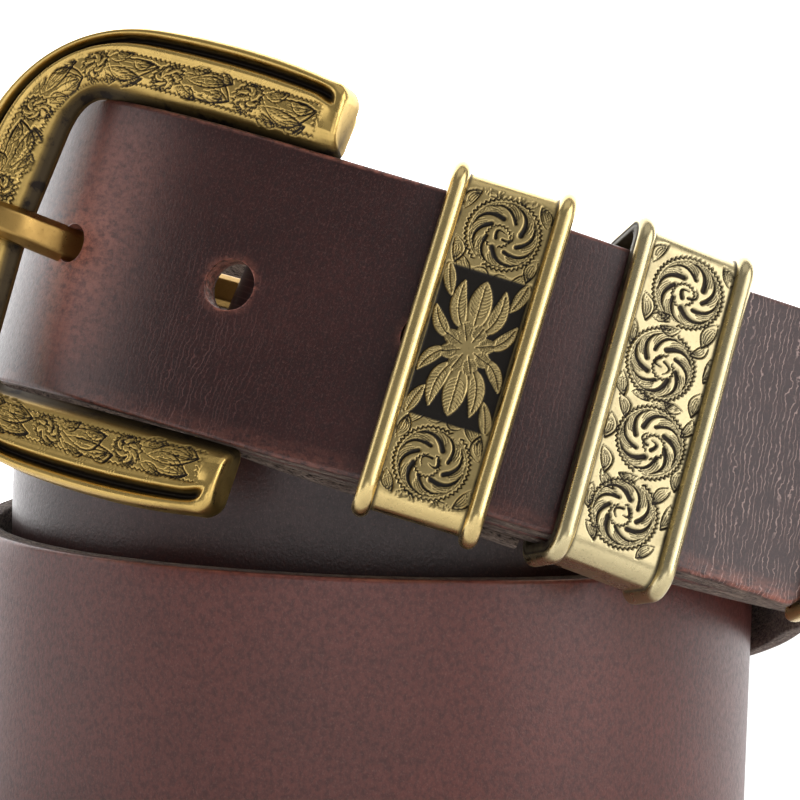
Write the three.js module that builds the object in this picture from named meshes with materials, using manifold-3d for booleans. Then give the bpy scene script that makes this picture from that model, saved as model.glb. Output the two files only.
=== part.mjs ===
// A western belt with an engraved brass buckle, two keepers and a metal tip.
// It is buckled, coiled three times and stands on its lower edge. Millimetres, +Z up.
import * as THREE from 'three';
import { mergeVertices } from 'three/addons/utils/BufferGeometryUtils.js';
import Module from 'manifold-3d';

const wasm = await Module();
wasm.setup();

// Driving dimensions
const STRAP_WIDTH = 38;
const STRAP_THICKNESS = 3;
const EDGE_BEVEL = 0.6;
const CLEARANCE = 0.35;
const LAYER_GAP = 0.5;
const FOLD_THICKNESS = 2;
const FOLD_LENGTH = 40.7;
const SKIVE_LENGTH = 19;
const HOLE_DIAMETER = 6.5;
const HOLE_PITCH = 25.6;
const HOLES_BEHIND_BAR = 4;
const BAR_TO_HOLE = 2.3;
const BAR_RADIUS = 2;
const STUD_RADIUS = 2;
const STUD_HEAD = { radius: 2.4, thickness: 1 };
const STUD_PLACES = [13.6, 37.9];
const KEEPER = { frontHalf: 20.8, rearHalf: 19.9, cornerRadius: 1.5 };
const KEEPER_WALL = { front: 1, end: 0.9, rear: 0.65 };
const TIP = { length: 33.5, wall: 1.1, railWidth: 2.2, railHeight: 0.5, railLead: 0.3, taper: 2 };
const FRAME = { end: 5.9, back: 4.65, drop: 0.4 };
const LUG = { length: 4, width: 6, radius: 1.5, offset: -0.6, sink: 1 };
const PRONG = { eyeWidth: 4.4, eyeWall: 1.3 };
const RELIEF = 0.4;
const TURNS_ROUND = 3;

// Turns of the strap's middle line: turn and lean in degrees, radius and height in millimetres.
// Turn 0 faces the viewer. The buckle's bar is at turn -18 and the strap's tip at turn 1153.
const COIL = [
  { turn: -18, radius: 42.8, height: 71.4, lean: 16.4 },
  { turn: -14, radius: 43.25, height: 70.6, lean: 16 },
  { turn: 0, radius: 45, height: 68, lean: 17 },
  { turn: 14, radius: 47.6, height: 65, lean: 18 },
  { turn: 30, radius: 52.5, height: 60.6, lean: 18 },
  { turn: 38, radius: 55.55, height: 58.1, lean: 18 },
  { turn: 46, radius: 59, height: 55.6, lean: 18 },
  { turn: 56, radius: 61.85, height: 52.5, lean: 17 },
  { turn: 66, radius: 59.9, height: 50, lean: 13 },
  { turn: 78, radius: 56.1, height: 47.4, lean: 8 },
  { turn: 90, radius: 54.6, height: 44.8, lean: 5 },
  { turn: 115, radius: 53.9, height: 38.6, lean: 1 },
  { turn: 145, radius: 53.8, height: 31.8, lean: 0 },
  { turn: 180, radius: 53.3, height: 25.5, lean: 0 },
  { turn: 225, radius: 51.6, height: 20.8, lean: 0 },
  { turn: 270, radius: 49.6, height: 19, lean: 0 },
  { turn: 315, radius: 49, height: 19, lean: 0 },
  { turn: 360, radius: 49.2, height: 19, lean: 0 },
  { turn: 405, radius: 50, height: 19, lean: 0 },
  { turn: 450, radius: 50.5, height: 19, lean: 0 },
  { turn: 495, radius: 49.9, height: 19, lean: 0 },
  { turn: 540, radius: 49, height: 19.4, lean: 0 },
  { turn: 585, radius: 47, height: 22, lean: 0 },
  { turn: 630, radius: 44.6, height: 27.5, lean: 0 },
  { turn: 675, radius: 40.6, height: 33.4, lean: 0 },
  { turn: 705, radius: 37.8, height: 35.6, lean: 0 },
  { turn: 735, radius: 38.8, height: 36.8, lean: 0 },
  { turn: 765, radius: 43.6, height: 38.4, lean: 0 },
  { turn: 810, radius: 46.3, height: 42, lean: 0 },
  { turn: 855, radius: 45.4, height: 49, lean: 0 },
  { turn: 900, radius: 44, height: 57, lean: 1 },
  { turn: 945, radius: 43.2, height: 66, lean: 6 },
  { turn: 975, radius: 43.8, height: 72, lean: 11 },
  { turn: 1000, radius: 44.8, height: 75.3, lean: 14 },
  { turn: 1028, radius: 46.1, height: 76.2, lean: 15 },
  { turn: 1066, radius: 46.8, height: 71.5, lean: 16 },
  { turn: 1080, radius: 48.7, height: 68.9, lean: 17 },
  { turn: 1094, radius: 51.3, height: 65.9, lean: 18 },
  { turn: 1118, radius: 59.5, height: 58.9, lean: 18 },
  { turn: 1133, radius: 67.5, height: 53.6, lean: 18 },
  { turn: 1153, radius: 91, height: 42.6, lean: 18 },
];
// The strap's lengths run on from each other and meet end to end at the back of the coil
const STRAP_LENGTHS = ['strap_buckle_end', 'strap_outer_turn', 'strap_inner_turn', 'strap_tip_end'];
const STRAP_MEETS = [180, 540, 900];
const FIRST_TURN = COIL[0].turn;
const LAST_TURN = COIL[COIL.length - 1].turn;
const BAR_TURN = FIRST_TURN + TURNS_ROUND * 360;
const KEEPERS = [
  { name: 'keeper_1', turn: 1094, tilt: 0, rise: 0, slack: 1.05 },
  { name: 'keeper_2', turn: 1116.3, tilt: -4, rise: 0.3, slack: 2 },
];
const BUCKLE_TILT = { yaw: -2.8, roll: 4.6 };

// Sizes that follow from the driving dimensions
const HALF = STRAP_THICKNESS / 2;
const LAYER_PITCH = STRAP_THICKNESS + LAYER_GAP;
const BAR_DEPTH = HALF - FOLD_THICKNESS - CLEARANCE - BAR_RADIUS;
const BEND_RADIUS = HALF - BAR_DEPTH;
const FOLD_BACK = 2 * BAR_DEPTH - HALF;
const CUT_PAST = LAYER_GAP * 0.4;
const SLOT_RADIUS = BEND_RADIUS + CUT_PAST;
const TIP_GROW = CLEARANCE + TIP.wall;
const TIP_RADIUS = STRAP_WIDTH / 2 - TIP_GROW;

// Fineness of the round shapes
const TURN_STEP = 8;
const BEND_STEPS = 10;
const TIP_STEPS = 4;
const ROUND_STEPS = 8;
const LAST_ROUND_ANGLE = 85;
const HOLE_SIDES = 24;
const BAR_SIDES = 24;
const STUD_SIDES = 16;
const CORNER_STEPS = 4;
const VOLUTE_STEPS = 9;
const BLADE_STEPS = 4;
const MERGE_DISTANCE = 1e-4;
const SHORTEST_EDGE = 0.01;

// Cubic spline through a table's column, with no bend at its two ends
function naturalSpline(rows, column) {
  const x = rows.map((row) => row.turn);
  const y = rows.map((row) => row[column]);
  const last = x.length - 1;
  const bend = new Array(x.length).fill(0);
  const carry = new Array(x.length).fill(0);
  for (let i = 1; i < last; i += 1) {
    const before = x[i] - x[i - 1];
    const after = x[i + 1] - x[i];
    const pivot = 2 * (before + after) - before * carry[i - 1];
    const change = (y[i + 1] - y[i]) / after - (y[i] - y[i - 1]) / before;
    carry[i] = after / pivot;
    bend[i] = (6 * change - before * bend[i - 1]) / pivot;
  }
  for (let i = last - 1; i > 0; i -= 1) bend[i] -= carry[i] * bend[i + 1];
  return (at) => {
    let i = 0;
    while (i < last - 1 && at > x[i + 1]) i += 1;
    const span = x[i + 1] - x[i];
    const a = (x[i + 1] - at) / span;
    const b = 1 - a;
    const curve = (a ** 3 - a) * bend[i] + (b ** 3 - b) * bend[i + 1];
    return a * y[i] + b * y[i + 1] + (curve * span * span) / 6;
  };
}

const radiusAt = naturalSpline(COIL, 'radius');
const heightLine = naturalSpline(COIL, 'height');
const leanAt = naturalSpline(COIL, 'lean');
const UP = new THREE.Vector3(0, 0, 1);

// The lowest turn stands with its whole edge on the surface
function heightAt(turn) {
  return Math.max(heightLine(turn), STRAP_WIDTH / 2);
}

function middleAt(turn) {
  const angle = THREE.MathUtils.degToRad(turn);
  const radius = radiusAt(turn);
  return new THREE.Vector3(radius * Math.sin(angle), -radius * Math.cos(angle), heightAt(turn));
}

// Place on the strap: x runs along it, y across it and z out of its grain side
function placeAt(turn) {
  const step = 0.5;
  const along = middleAt(turn + step).sub(middleAt(turn - step)).normalize();
  const level = along.clone().cross(UP).normalize();
  const lean = THREE.MathUtils.degToRad(leanAt(turn));
  const across = UP.clone().multiplyScalar(Math.cos(lean)).addScaledVector(level, -Math.sin(lean));
  across.addScaledVector(along, -across.dot(along)).normalize();
  const out = along.clone().cross(across);
  return new THREE.Matrix4().makeBasis(along, across, out).setPosition(middleAt(turn));
}

// Turn that lies a given length along the strap from another turn
function turnAfter(turn, length) {
  const step = 0.25 * Math.sign(length);
  let travelled = 0;
  let at = turn;
  while (travelled < Math.abs(length)) {
    travelled += middleAt(at).distanceTo(middleAt(at + step));
    at += step;
  }
  return at;
}

function shifted(place, x, y, z) {
  return place.clone().multiply(new THREE.Matrix4().makeTranslation(x, y, z));
}

// Closed skin over rings of points: capped at both ends by a flat outline, or joined into a loop
function skin(rings, capOutline) {
  const size = rings[0].length;
  const positions = rings.flatMap((ring) => ring.flatMap((point) => point.toArray()));
  const index = [];
  const bands = capOutline ? rings.length - 1 : rings.length;
  for (let k = 0; k < bands; k += 1) {
    const near = k * size;
    const far = ((k + 1) % rings.length) * size;
    for (let i = 0; i < size; i += 1) {
      const j = (i + 1) % size;
      index.push(near + i, near + j, far + j, near + i, far + j, far + i);
    }
  }
  if (capOutline) {
    const end = (rings.length - 1) * size;
    const clockwise = THREE.ShapeUtils.isClockWise(capOutline);
    THREE.ShapeUtils.triangulateShape(capOutline, []).forEach((corners) => {
      const [a, b, c] = clockwise ? corners.reverse() : corners;
      index.push(a, c, b, end + a, end + b, end + c);
    });
  }
  const geometry = new THREE.BufferGeometry();
  geometry.setAttribute('position', new THREE.Float32BufferAttribute(positions, 3));
  geometry.setIndex(index);
  return geometry;
}

// Sections, each an outline across a place, skinned over
function sweep(sections) {
  const rings = sections.map(({ outline, place }) => outline.map(
    (point) => new THREE.Vector3(0, point.x, point.y).applyMatrix4(place),
  ));
  return skin(rings, sections[0].outline);
}

function toManifold(geometry) {
  const bare = geometry.clone();
  bare.deleteAttribute('normal');
  bare.deleteAttribute('uv');
  const merged = mergeVertices(bare, MERGE_DISTANCE);
  const vertProperties = new Float32Array(merged.attributes.position.array);
  const triVerts = new Uint32Array(merged.index.array);
  return new wasm.Manifold(new wasm.Mesh({ numProp: 3, vertProperties, triVerts }));
}

// Triangles left once points closer together than the shortest edge have been made one point. A
// pair of triangles that this lays back to back goes too.
function withoutShortEdges(positions, triangles) {
  const points = [];
  const joined = [];
  for (let i = 0; i < positions.length / 3; i += 1) {
    const point = new THREE.Vector3().fromArray(positions, 3 * i);
    points.push(point);
    joined.push(points.findIndex((other) => other.distanceTo(point) < SHORTEST_EDGE));
  }
  const kept = new Map();
  for (let t = 0; t < triangles.length; t += 3) {
    const corners = [joined[triangles[t]], joined[triangles[t + 1]], joined[triangles[t + 2]]];
    const key = [...corners].sort((a, b) => a - b).join();
    if (new Set(corners).size === 3 && !kept.delete(key)) kept.set(key, corners);
  }
  return [...kept.values()].flat();
}

function toGeometry(manifold) {
  const { vertProperties, triVerts } = manifold.getMesh();
  const geometry = new THREE.BufferGeometry();
  geometry.setAttribute('position', new THREE.BufferAttribute(vertProperties, 3));
  geometry.setIndex(withoutShortEdges(vertProperties, triVerts));
  geometry.computeVertexNormals();
  return geometry;
}

function join(geometries) {
  return geometries.map(toManifold).reduce((whole, next) => whole.add(next));
}

// Cylinder along z, the direction out of the strap's grain side
function pin(radius, low, high, sides) {
  const shape = new THREE.CylinderGeometry(radius, radius, high - low, sides);
  return shape.rotateX(Math.PI / 2).translate(0, 0, (low + high) / 2);
}

// Cylinder along y, the direction of the buckle's bar
function crossPin(radius, length) {
  return new THREE.CylinderGeometry(radius, radius, length, BAR_SIDES);
}

// Cross-section of leather or sheet metal: a rectangle with bevelled corners
function strip(halfWidth, front, back, bevel) {
  const inset = Math.min(bevel, halfWidth / 2, (front - back) / 4);
  return [
    new THREE.Vector2(-halfWidth, back + inset),
    new THREE.Vector2(-halfWidth + inset, back),
    new THREE.Vector2(halfWidth - inset, back),
    new THREE.Vector2(halfWidth, back + inset),
    new THREE.Vector2(halfWidth, front - inset),
    new THREE.Vector2(halfWidth - inset, front),
    new THREE.Vector2(-halfWidth + inset, front),
    new THREE.Vector2(-halfWidth, front - inset),
  ];
}

// Where the tip's half round, the metal tip and the bottom of its mouth rail start
const TONGUE_TURN = turnAfter(LAST_TURN, -TIP_RADIUS - TIP_GROW);
const TIP_TURN = turnAfter(TONGUE_TURN, TIP_RADIUS + TIP_GROW - TIP.length);
const MOUTH_TURN = turnAfter(TIP_TURN, -TIP.railWidth);

// Sections along the strap that end in a half round, for the strap's tip and what covers it
function tongueSections(startTurn, grow, steps) {
  const radius = TIP_RADIUS + grow;
  const outline = (halfWidth) => strip(halfWidth, HALF + grow, -HALF - grow, EDGE_BEVEL);
  const sections = [];
  for (let k = 0; k <= steps; k += 1) {
    const turn = THREE.MathUtils.lerp(startTurn, TONGUE_TURN, k / steps);
    sections.push({ place: placeAt(turn), outline: outline(radius) });
  }
  for (let k = 1; k <= ROUND_STEPS; k += 1) {
    const angle = THREE.MathUtils.degToRad((LAST_ROUND_ANGLE * k) / ROUND_STEPS);
    const turn = turnAfter(TONGUE_TURN, radius * Math.sin(angle));
    sections.push({ place: placeAt(turn), outline: outline(radius * Math.cos(angle)) });
  }
  return sections;
}

// Strap
function foldSections() {
  const thin = strip(STRAP_WIDTH / 2, HALF, HALF - FOLD_THICKNESS, EDGE_BEVEL);
  const foldTurn = turnAfter(FIRST_TURN, FOLD_LENGTH);
  const halfTurn = new THREE.Matrix4().makeRotationY(Math.PI);
  const sections = [];
  for (let k = 0; k < BEND_STEPS; k += 1) {
    const turn = THREE.MathUtils.lerp(foldTurn, FIRST_TURN, k / BEND_STEPS);
    const place = shifted(placeAt(turn), 0, 0, 2 * BAR_DEPTH).multiply(halfTurn);
    sections.push({ place, outline: thin });
  }
  for (let k = 0; k <= BEND_STEPS; k += 1) {
    const roll = new THREE.Matrix4().makeRotationY(-Math.PI * (1 - k / BEND_STEPS));
    const place = shifted(placeAt(FIRST_TURN), 0, 0, BAR_DEPTH).multiply(roll);
    sections.push({ place: shifted(place, 0, 0, -BAR_DEPTH), outline: thin });
  }
  return sections;
}

// Sections of full thickness. Every layer has them at the same angles, so that its facets nest.
function fullSections(startTurn, endTurn) {
  const full = strip(STRAP_WIDTH / 2, HALF, -HALF, EDGE_BEVEL);
  const turns = [startTurn];
  const first = Math.floor(startTurn / TURN_STEP) + 1;
  for (let k = first; k * TURN_STEP < endTurn; k += 1) turns.push(k * TURN_STEP);
  turns.push(endTurn);
  return turns.map((turn) => ({ place: placeAt(turn), outline: full }));
}

// Sections of one of the strap's lengths, counted from the buckle
function lengthSections(number) {
  const isFirst = number === 0;
  const isLast = number === STRAP_MEETS.length;
  const startTurn = isFirst
    ? turnAfter(FIRST_TURN, SKIVE_LENGTH)
    : turnAfter(STRAP_MEETS[number - 1], CLEARANCE / 2);
  const endTurn = isLast
    ? turnAfter(MOUTH_TURN, -TIP.taper)
    : turnAfter(STRAP_MEETS[number], -CLEARANCE / 2);
  return [
    ...(isFirst ? foldSections() : []),
    ...fullSections(startTurn, endTurn),
    ...(isLast ? tongueSections(MOUTH_TURN, 0, TIP_STEPS) : []),
  ];
}

function studPlace(length) {
  return placeAt(turnAfter(FIRST_TURN, length));
}

// Everything that is cut out of the strap: its holes, the studs' holes, and the prong's slot and room
function strapCuts(prongRoom) {
  const cuts = [];
  for (let k = 0; k <= HOLES_BEHIND_BAR; k += 1) {
    const turn = turnAfter(BAR_TURN, HOLE_PITCH - BAR_TO_HOLE - k * HOLE_PITCH);
    const hole = pin(HOLE_DIAMETER / 2, -HALF - CUT_PAST, STRAP_THICKNESS, HOLE_SIDES);
    cuts.push(hole.applyMatrix4(placeAt(turn)));
  }
  STUD_PLACES.forEach((length) => {
    const hole = pin(STUD_RADIUS + CLEARANCE, FOLD_BACK - CLEARANCE, HALF + CUT_PAST, STUD_SIDES);
    cuts.push(hole.applyMatrix4(studPlace(length)));
  });
  const slot = crossPin(SLOT_RADIUS, PRONG.eyeWidth + 2 * CLEARANCE);
  cuts.push(slot.applyMatrix4(BAR_PLACE));
  return [...cuts.map(toManifold), prongRoom];
}

function strapGeometry(number, cuts) {
  const leather = toManifold(sweep(lengthSections(number)));
  return toGeometry(cuts.reduce((rest, piece) => rest.subtract(piece), leather));
}

function studGeometry() {
  const headTop = FOLD_BACK - CLEARANCE;
  const shank = pin(STUD_RADIUS, headTop, HALF - CLEARANCE / 2, STUD_SIDES);
  const head = pin(STUD_HEAD.radius, headTop - STUD_HEAD.thickness, headTop, STUD_SIDES);
  return toGeometry(join([shank, head]));
}

// Raised line of relief: a three-sided ridge along a plane curve on a surface
const RELIEF_ROOT = 0.3;
const RIDGE_WIDTH = 0.9;
const VOLUTE = { sweep: 330, taper: 0.78, thinning: 0.45 };
const BLADE = { bow: 0.28, width: 1.1, tip: 0.2 };

function ridge(points, widthAt, surfaceAt) {
  const rings = points.map((point, k) => {
    const before = points[Math.max(k - 1, 0)];
    const after = points[Math.min(k + 1, points.length - 1)];
    const side = after.clone().sub(before).normalize();
    side.rotateAround(new THREE.Vector2(), Math.PI / 2);
    side.multiplyScalar(widthAt(k / (points.length - 1)) / 2);
    const level = surfaceAt(point);
    return [
      new THREE.Vector3(point.x - side.x, point.y - side.y, level - RELIEF_ROOT),
      new THREE.Vector3(point.x + side.x, point.y + side.y, level - RELIEF_ROOT),
      new THREE.Vector3(point.x, point.y, level + RELIEF),
    ];
  });
  return skin(rings, [new THREE.Vector2(-1, 0), new THREE.Vector2(1, 0), new THREE.Vector2(0, 1)]);
}

// Scroll that curls inwards; hand is 1 for anticlockwise
function volute({ x, y, size, start, hand }, surfaceAt) {
  const points = [];
  for (let k = 0; k <= VOLUTE_STEPS; k += 1) {
    const part = k / VOLUTE_STEPS;
    const angle = THREE.MathUtils.degToRad(start + hand * VOLUTE.sweep * part);
    const reach = size * (1 - VOLUTE.taper * part);
    points.push(new THREE.Vector2(x + reach * Math.cos(angle), y + reach * Math.sin(angle)));
  }
  return ridge(points, (part) => RIDGE_WIDTH * (1 - VOLUTE.thinning * part), surfaceAt);
}

// Leaf blade that bows to one side of the line between its ends
function blade({ x, y, size, start, hand }, surfaceAt) {
  const origin = new THREE.Vector2();
  const points = [];
  for (let k = 0; k <= BLADE_STEPS; k += 1) {
    const part = k / BLADE_STEPS;
    const bow = hand * size * BLADE.bow * Math.sin(Math.PI * part);
    const point = new THREE.Vector2(size * part, bow);
    point.rotateAround(origin, THREE.MathUtils.degToRad(start));
    points.push(point.add(new THREE.Vector2(x, y)));
  }
  const widthAt = (part) => BLADE.tip + BLADE.width * Math.sin(Math.PI * part);
  return ridge(points, widthAt, surfaceAt);
}

// Keepers: the wall's section along the strap, as its height over the loop's inside
const KEEPER_SECTION = [
  { along: 8, lift: 0 },
  { along: 8, lift: 1.7 },
  { along: 7.5, lift: 2.5 },
  { along: 6.8, lift: 2.7 },
  { along: 6, lift: 2.3 },
  { along: 5.6, lift: 1.3 },
  { along: -5.6, lift: 1.3 },
  { along: -6, lift: 2.3 },
  { along: -6.8, lift: 2.7 },
  { along: -7.5, lift: 2.5 },
  { along: -8, lift: 1.7 },
  { along: -8, lift: 0 },
];
const PLATE_LIFT = 1.3;
const KEEPER_FRONT = HALF + CLEARANCE;
const KEEPER_REAR = -LAYER_PITCH - HALF - CLEARANCE;

const KEEPER_SCROLLS = [
  { x: 0.4, y: 15.2, size: 4, start: 200, hand: -1 },
  { x: -0.5, y: 6.2, size: 4, start: 20, hand: 1 },
  { x: 0.5, y: -6.2, size: 4, start: 200, hand: 1 },
  { x: -0.4, y: -15.2, size: 4, start: 20, hand: -1 },
];
const KEEPER_BLADES = [
  { x: 3.6, y: 20, size: 4, start: 250, hand: -1 },
  { x: -4.2, y: 11.6, size: 3.6, start: 300, hand: 1 },
  { x: 4.3, y: 10.8, size: 3.6, start: 215, hand: -1 },
  { x: -4.2, y: 1.6, size: 3.6, start: 330, hand: 1 },
  { x: 4.2, y: -1.6, size: 3.6, start: 150, hand: 1 },
  { x: -4.3, y: -10.8, size: 3.6, start: 35, hand: -1 },
  { x: 4.2, y: -11.6, size: 3.6, start: 120, hand: 1 },
  { x: -3.6, y: -20, size: 4, start: 70, hand: -1 },
];

// The wall is full in front, a little thinner at the ends and thin behind the strap
function wallShare(angle) {
  const facing = Math.sin(angle);
  const aim = facing > 0 ? KEEPER_WALL.front : KEEPER_WALL.rear;
  return THREE.MathUtils.lerp(KEEPER_WALL.end, aim, Math.abs(facing));
}

function keeperGeometry(slack) {
  const rings = [];
  for (let corner = 0; corner < 4; corner += 1) {
    const isFront = corner < 2;
    const reach = (isFront ? KEEPER.frontHalf : KEEPER.rearHalf) - KEEPER.cornerRadius;
    const y = corner === 0 || corner === 3 ? reach : -reach;
    const z = isFront ? KEEPER_FRONT - KEEPER.cornerRadius : KEEPER_REAR - slack + KEEPER.cornerRadius;
    for (let k = 0; k <= CORNER_STEPS; k += 1) {
      const angle = (Math.PI / 2) * (corner + k / CORNER_STEPS);
      rings.push(KEEPER_SECTION.map(({ along, lift }) => {
        const out = KEEPER.cornerRadius + lift * wallShare(angle);
        return new THREE.Vector3(along, y + out * Math.cos(angle), z + out * Math.sin(angle));
      }));
    }
  }
  const surfaceAt = () => KEEPER_FRONT + PLATE_LIFT;
  const relief = [
    ...KEEPER_SCROLLS.map((row) => volute(row, surfaceAt)),
    ...KEEPER_BLADES.map((row) => blade(row, surfaceAt)),
  ];
  return toGeometry(join([skin(rings), ...relief]));
}

// Tip
function tipGeometry() {
  const railStart = turnAfter(TIP_TURN, -TIP.railLead);
  const railEnd = turnAfter(railStart, TIP.railWidth);
  const railGrow = TIP_GROW + TIP.railHeight;
  const railOutline = strip(TIP_RADIUS + railGrow, HALF + railGrow, -HALF - railGrow, EDGE_BEVEL);
  const rail = [railStart, railEnd].map((turn) => ({ place: placeAt(turn), outline: railOutline }));
  const sleeve = join([sweep(tongueSections(TIP_TURN, TIP_GROW, TIP_STEPS)), sweep(rail)]);
  const pocket = toManifold(sweep(tongueSections(MOUTH_TURN, CLEARANCE, TIP_STEPS)));
  return toGeometry(sleeve.subtract(pocket));
}

// Buckle. Its place has x along the strap, y along the bar and z out; the bar's axis is y.
const toYaw = new THREE.Matrix4().makeRotationY(THREE.MathUtils.degToRad(BUCKLE_TILT.yaw));
const toRoll = new THREE.Matrix4().makeRotationZ(THREE.MathUtils.degToRad(BUCKLE_TILT.roll));
const BAR_PLACE = shifted(placeAt(FIRST_TURN), 0, 0, BAR_DEPTH);
const BUCKLE_PLACE = BAR_PLACE.clone().multiply(toYaw).multiply(toRoll);
const FRAME_PLACE = shifted(BUCKLE_PLACE, 0, -FRAME.drop, 0);

// Half of the frame, from the free end of an arm to the middle of the front arm
const v2 = (x, y) => new THREE.Vector2(x, y);
const OUTER_LINES = [
  new THREE.QuadraticBezierCurve(v2(FRAME.end, 25.7), v2(FRAME.end, 27.6), v2(FRAME.end - 2, 28)),
  new THREE.QuadraticBezierCurve(v2(FRAME.end - 2, 28), v2(-7, 30.2), v2(-22, 29.2)),
  new THREE.CubicBezierCurve(v2(-22, 29.2), v2(-33.4, 28.4), v2(-41.8, 21), v2(-42.9, 9)),
  new THREE.LineCurve(v2(-42.9, 9), v2(-43.4, 0)),
];
const INNER_LINES = [
  new THREE.LineCurve(v2(FRAME.end, 19.8), v2(FRAME.end - 2, 19.8)),
  new THREE.LineCurve(v2(FRAME.end - 2, 19.8), v2(-27, 20.4)),
  new THREE.QuadraticBezierCurve(v2(-27, 20.4), v2(-33, 20.4), v2(-33.4, 12)),
  new THREE.LineCurve(v2(-33.4, 12), v2(-34.2, 0)),
];
const LINE_STEPS = [3, 6, 7, 2];

// Section of an arm from its inner edge (0) to its outer edge (1), with heights over the back
const FRAME_SECTION = [
  { across: 1, height: 0 },
  { across: 1, height: 3.7 },
  { across: 0.93, height: 4.5 },
  { across: 0.87, height: 4.2 },
  { across: 0.84, height: 3.4 },
  { across: 0.77, height: 3.4 },
  { across: 0.74, height: 4.6 },
  { across: 0.68, height: 4.9 },
  { across: 0.6, height: 4.6 },
  { across: 0.3, height: 4.5 },
  { across: 0.06, height: 3.4 },
  { across: 0, height: 2.6 },
  { across: 0, height: 0 },
];

// Relief on one half of the frame: how far round it lies, from the free end (0) to the middle of
// the front arm (1), and its angle from the arm's own direction
const FIELD_MIDDLE = 0.34;
const FRAME_SCROLLS = [
  { part: 0.1, size: 1.7, start: 180, hand: 1 },
  { part: 0.26, size: 1.9, start: 180, hand: -1 },
  { part: 0.44, size: 1.9, start: 180, hand: 1 },
  { part: 0.66, size: 2.1, start: 180, hand: -1 },
  { part: 0.88, size: 2.1, start: 180, hand: 1 },
];
const FRAME_BLADES = [
  { part: 0.14, size: 4, start: 15, hand: 1 },
  { part: 0.31, size: 4, start: -15, hand: -1 },
  { part: 0.49, size: 4, start: 15, hand: 1 },
  { part: 0.72, size: 3.6, start: -15, hand: -1 },
];

function outlinePoints(lines, side) {
  const points = [];
  lines.forEach((line, k) => {
    const steps = LINE_STEPS[k];
    for (let i = k === 0 ? 0 : 1; i <= steps; i += 1) {
      const point = line.getPoint(i / steps);
      points.push(v2(point.x, point.y * side));
    }
  });
  return points;
}

// Whole outline from the lower arm's free end to the upper arm's
function wholeOutline(lines) {
  const upper = outlinePoints(lines, 1).reverse();
  return [...outlinePoints(lines, -1), ...upper.slice(1)];
}

const INNER_OUTLINE = wholeOutline(INNER_LINES);
const OUTER_OUTLINE = wholeOutline(OUTER_LINES);

// Height of an arm's field near a point, from how far it lies across the arm
function armSurface(point) {
  const places = INNER_OUTLINE.map((inner, k) => {
    const across = OUTER_OUTLINE[k].clone().sub(inner);
    const share = THREE.MathUtils.clamp(point.clone().sub(inner).dot(across) / across.lengthSq(), 0, 0.99);
    return { share, gap: inner.clone().addScaledVector(across, share).distanceTo(point) };
  });
  const { share } = places.reduce((best, next) => (next.gap < best.gap ? next : best));
  const row = FRAME_SECTION.findIndex(({ across }) => across <= share);
  const [high, low] = [FRAME_SECTION[row - 1], FRAME_SECTION[row]];
  const between = (share - low.across) / (high.across - low.across);
  return FRAME.back + THREE.MathUtils.lerp(low.height, high.height, between);
}

// Relief row turned into a place on the upper half (side 1) or the lower half (side -1)
function onArm({ part, size, start, hand }, side) {
  const last = Math.floor(INNER_OUTLINE.length / 2);
  const k = Math.round(part * last);
  const fieldPoint = (i) => INNER_OUTLINE[i].clone().lerp(OUTER_OUTLINE[i], FIELD_MIDDLE);
  const here = fieldPoint(k);
  const ahead = fieldPoint(Math.min(k + 1, last)).sub(fieldPoint(k - 1));
  const angle = THREE.MathUtils.radToDeg(ahead.angle()) + start;
  return { x: here.x, y: -side * here.y, size, start: -side * angle, hand: -side * hand };
}

function frameGeometry() {
  const rings = INNER_OUTLINE.map((inner, k) => FRAME_SECTION.map(({ across, height }) => {
    const point = inner.clone().lerp(OUTER_OUTLINE[k], across);
    return new THREE.Vector3(point.x, point.y, FRAME.back + height);
  }));
  const cap = FRAME_SECTION.map(({ across, height }) => v2(across, height));
  const fromBar = FRAME_PLACE.clone().invert().multiply(BAR_PLACE);
  const innerEdge = INNER_LINES[0].v1.y;
  const bar = crossPin(BAR_RADIUS, 2 * innerEdge - CLEARANCE);
  const pinEnds = crossPin(LUG.radius, 2 * innerEdge + LUG.width);
  const pieces = [skin(rings, cap), bar.applyMatrix4(fromBar), pinEnds.applyMatrix4(fromBar)];
  [-1, 1].forEach((side) => {
    const height = FRAME.back + LUG.sink;
    const lug = new THREE.BoxGeometry(LUG.length, LUG.width, height);
    lug.translate(LUG.offset, side * (innerEdge + LUG.width / 2), height / 2);
    pieces.push(lug.applyMatrix4(fromBar));
    FRAME_SCROLLS.forEach((row) => pieces.push(volute(onArm(row, side), armSurface)));
    FRAME_BLADES.forEach((row) => pieces.push(blade(onArm(row, side), armSurface)));
  });
  return toGeometry(join(pieces));
}

// Prong: its middle line beside the bar, in the buckle's own plane
const PRONG_LINE = [
  { x: -2.4, z: -0.6, width: 4, thickness: 2.2 },
  { x: -7, z: -0.6, width: 4.1, thickness: 2.2 },
  { x: -14, z: -0.9, width: 4.3, thickness: 2.2 },
  { x: -21.5, z: -1.1, width: 4.5, thickness: 2.2 },
  { x: -26.6, z: 0.4, width: 4.7, thickness: 2.3 },
  { x: -30.4, z: 4.9, width: 4.7, thickness: 2.5 },
  { x: -33.5, z: 9.1, width: 4.5, thickness: 2.6 },
  { x: -37.5, z: 11.3, width: 4, thickness: 2.6 },
  { x: -42, z: 11.4, width: 3.4, thickness: 2.4 },
  { x: -46, z: 10.5, width: 2.6, thickness: 2 },
];
const PRONG_STEPS = 24;

// Prong's section, as shares of its half width and half thickness
const PRONG_SECTION = [
  { across: -0.7, up: -1 },
  { across: 0.7, up: -1 },
  { across: 1, up: -0.5 },
  { across: 0.94, up: 0.3 },
  { across: 0.6, up: 0.85 },
  { across: 0, up: 1 },
  { across: -0.6, up: 0.85 },
  { across: -0.94, up: 0.3 },
  { across: -1, up: -0.5 },
];

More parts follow.
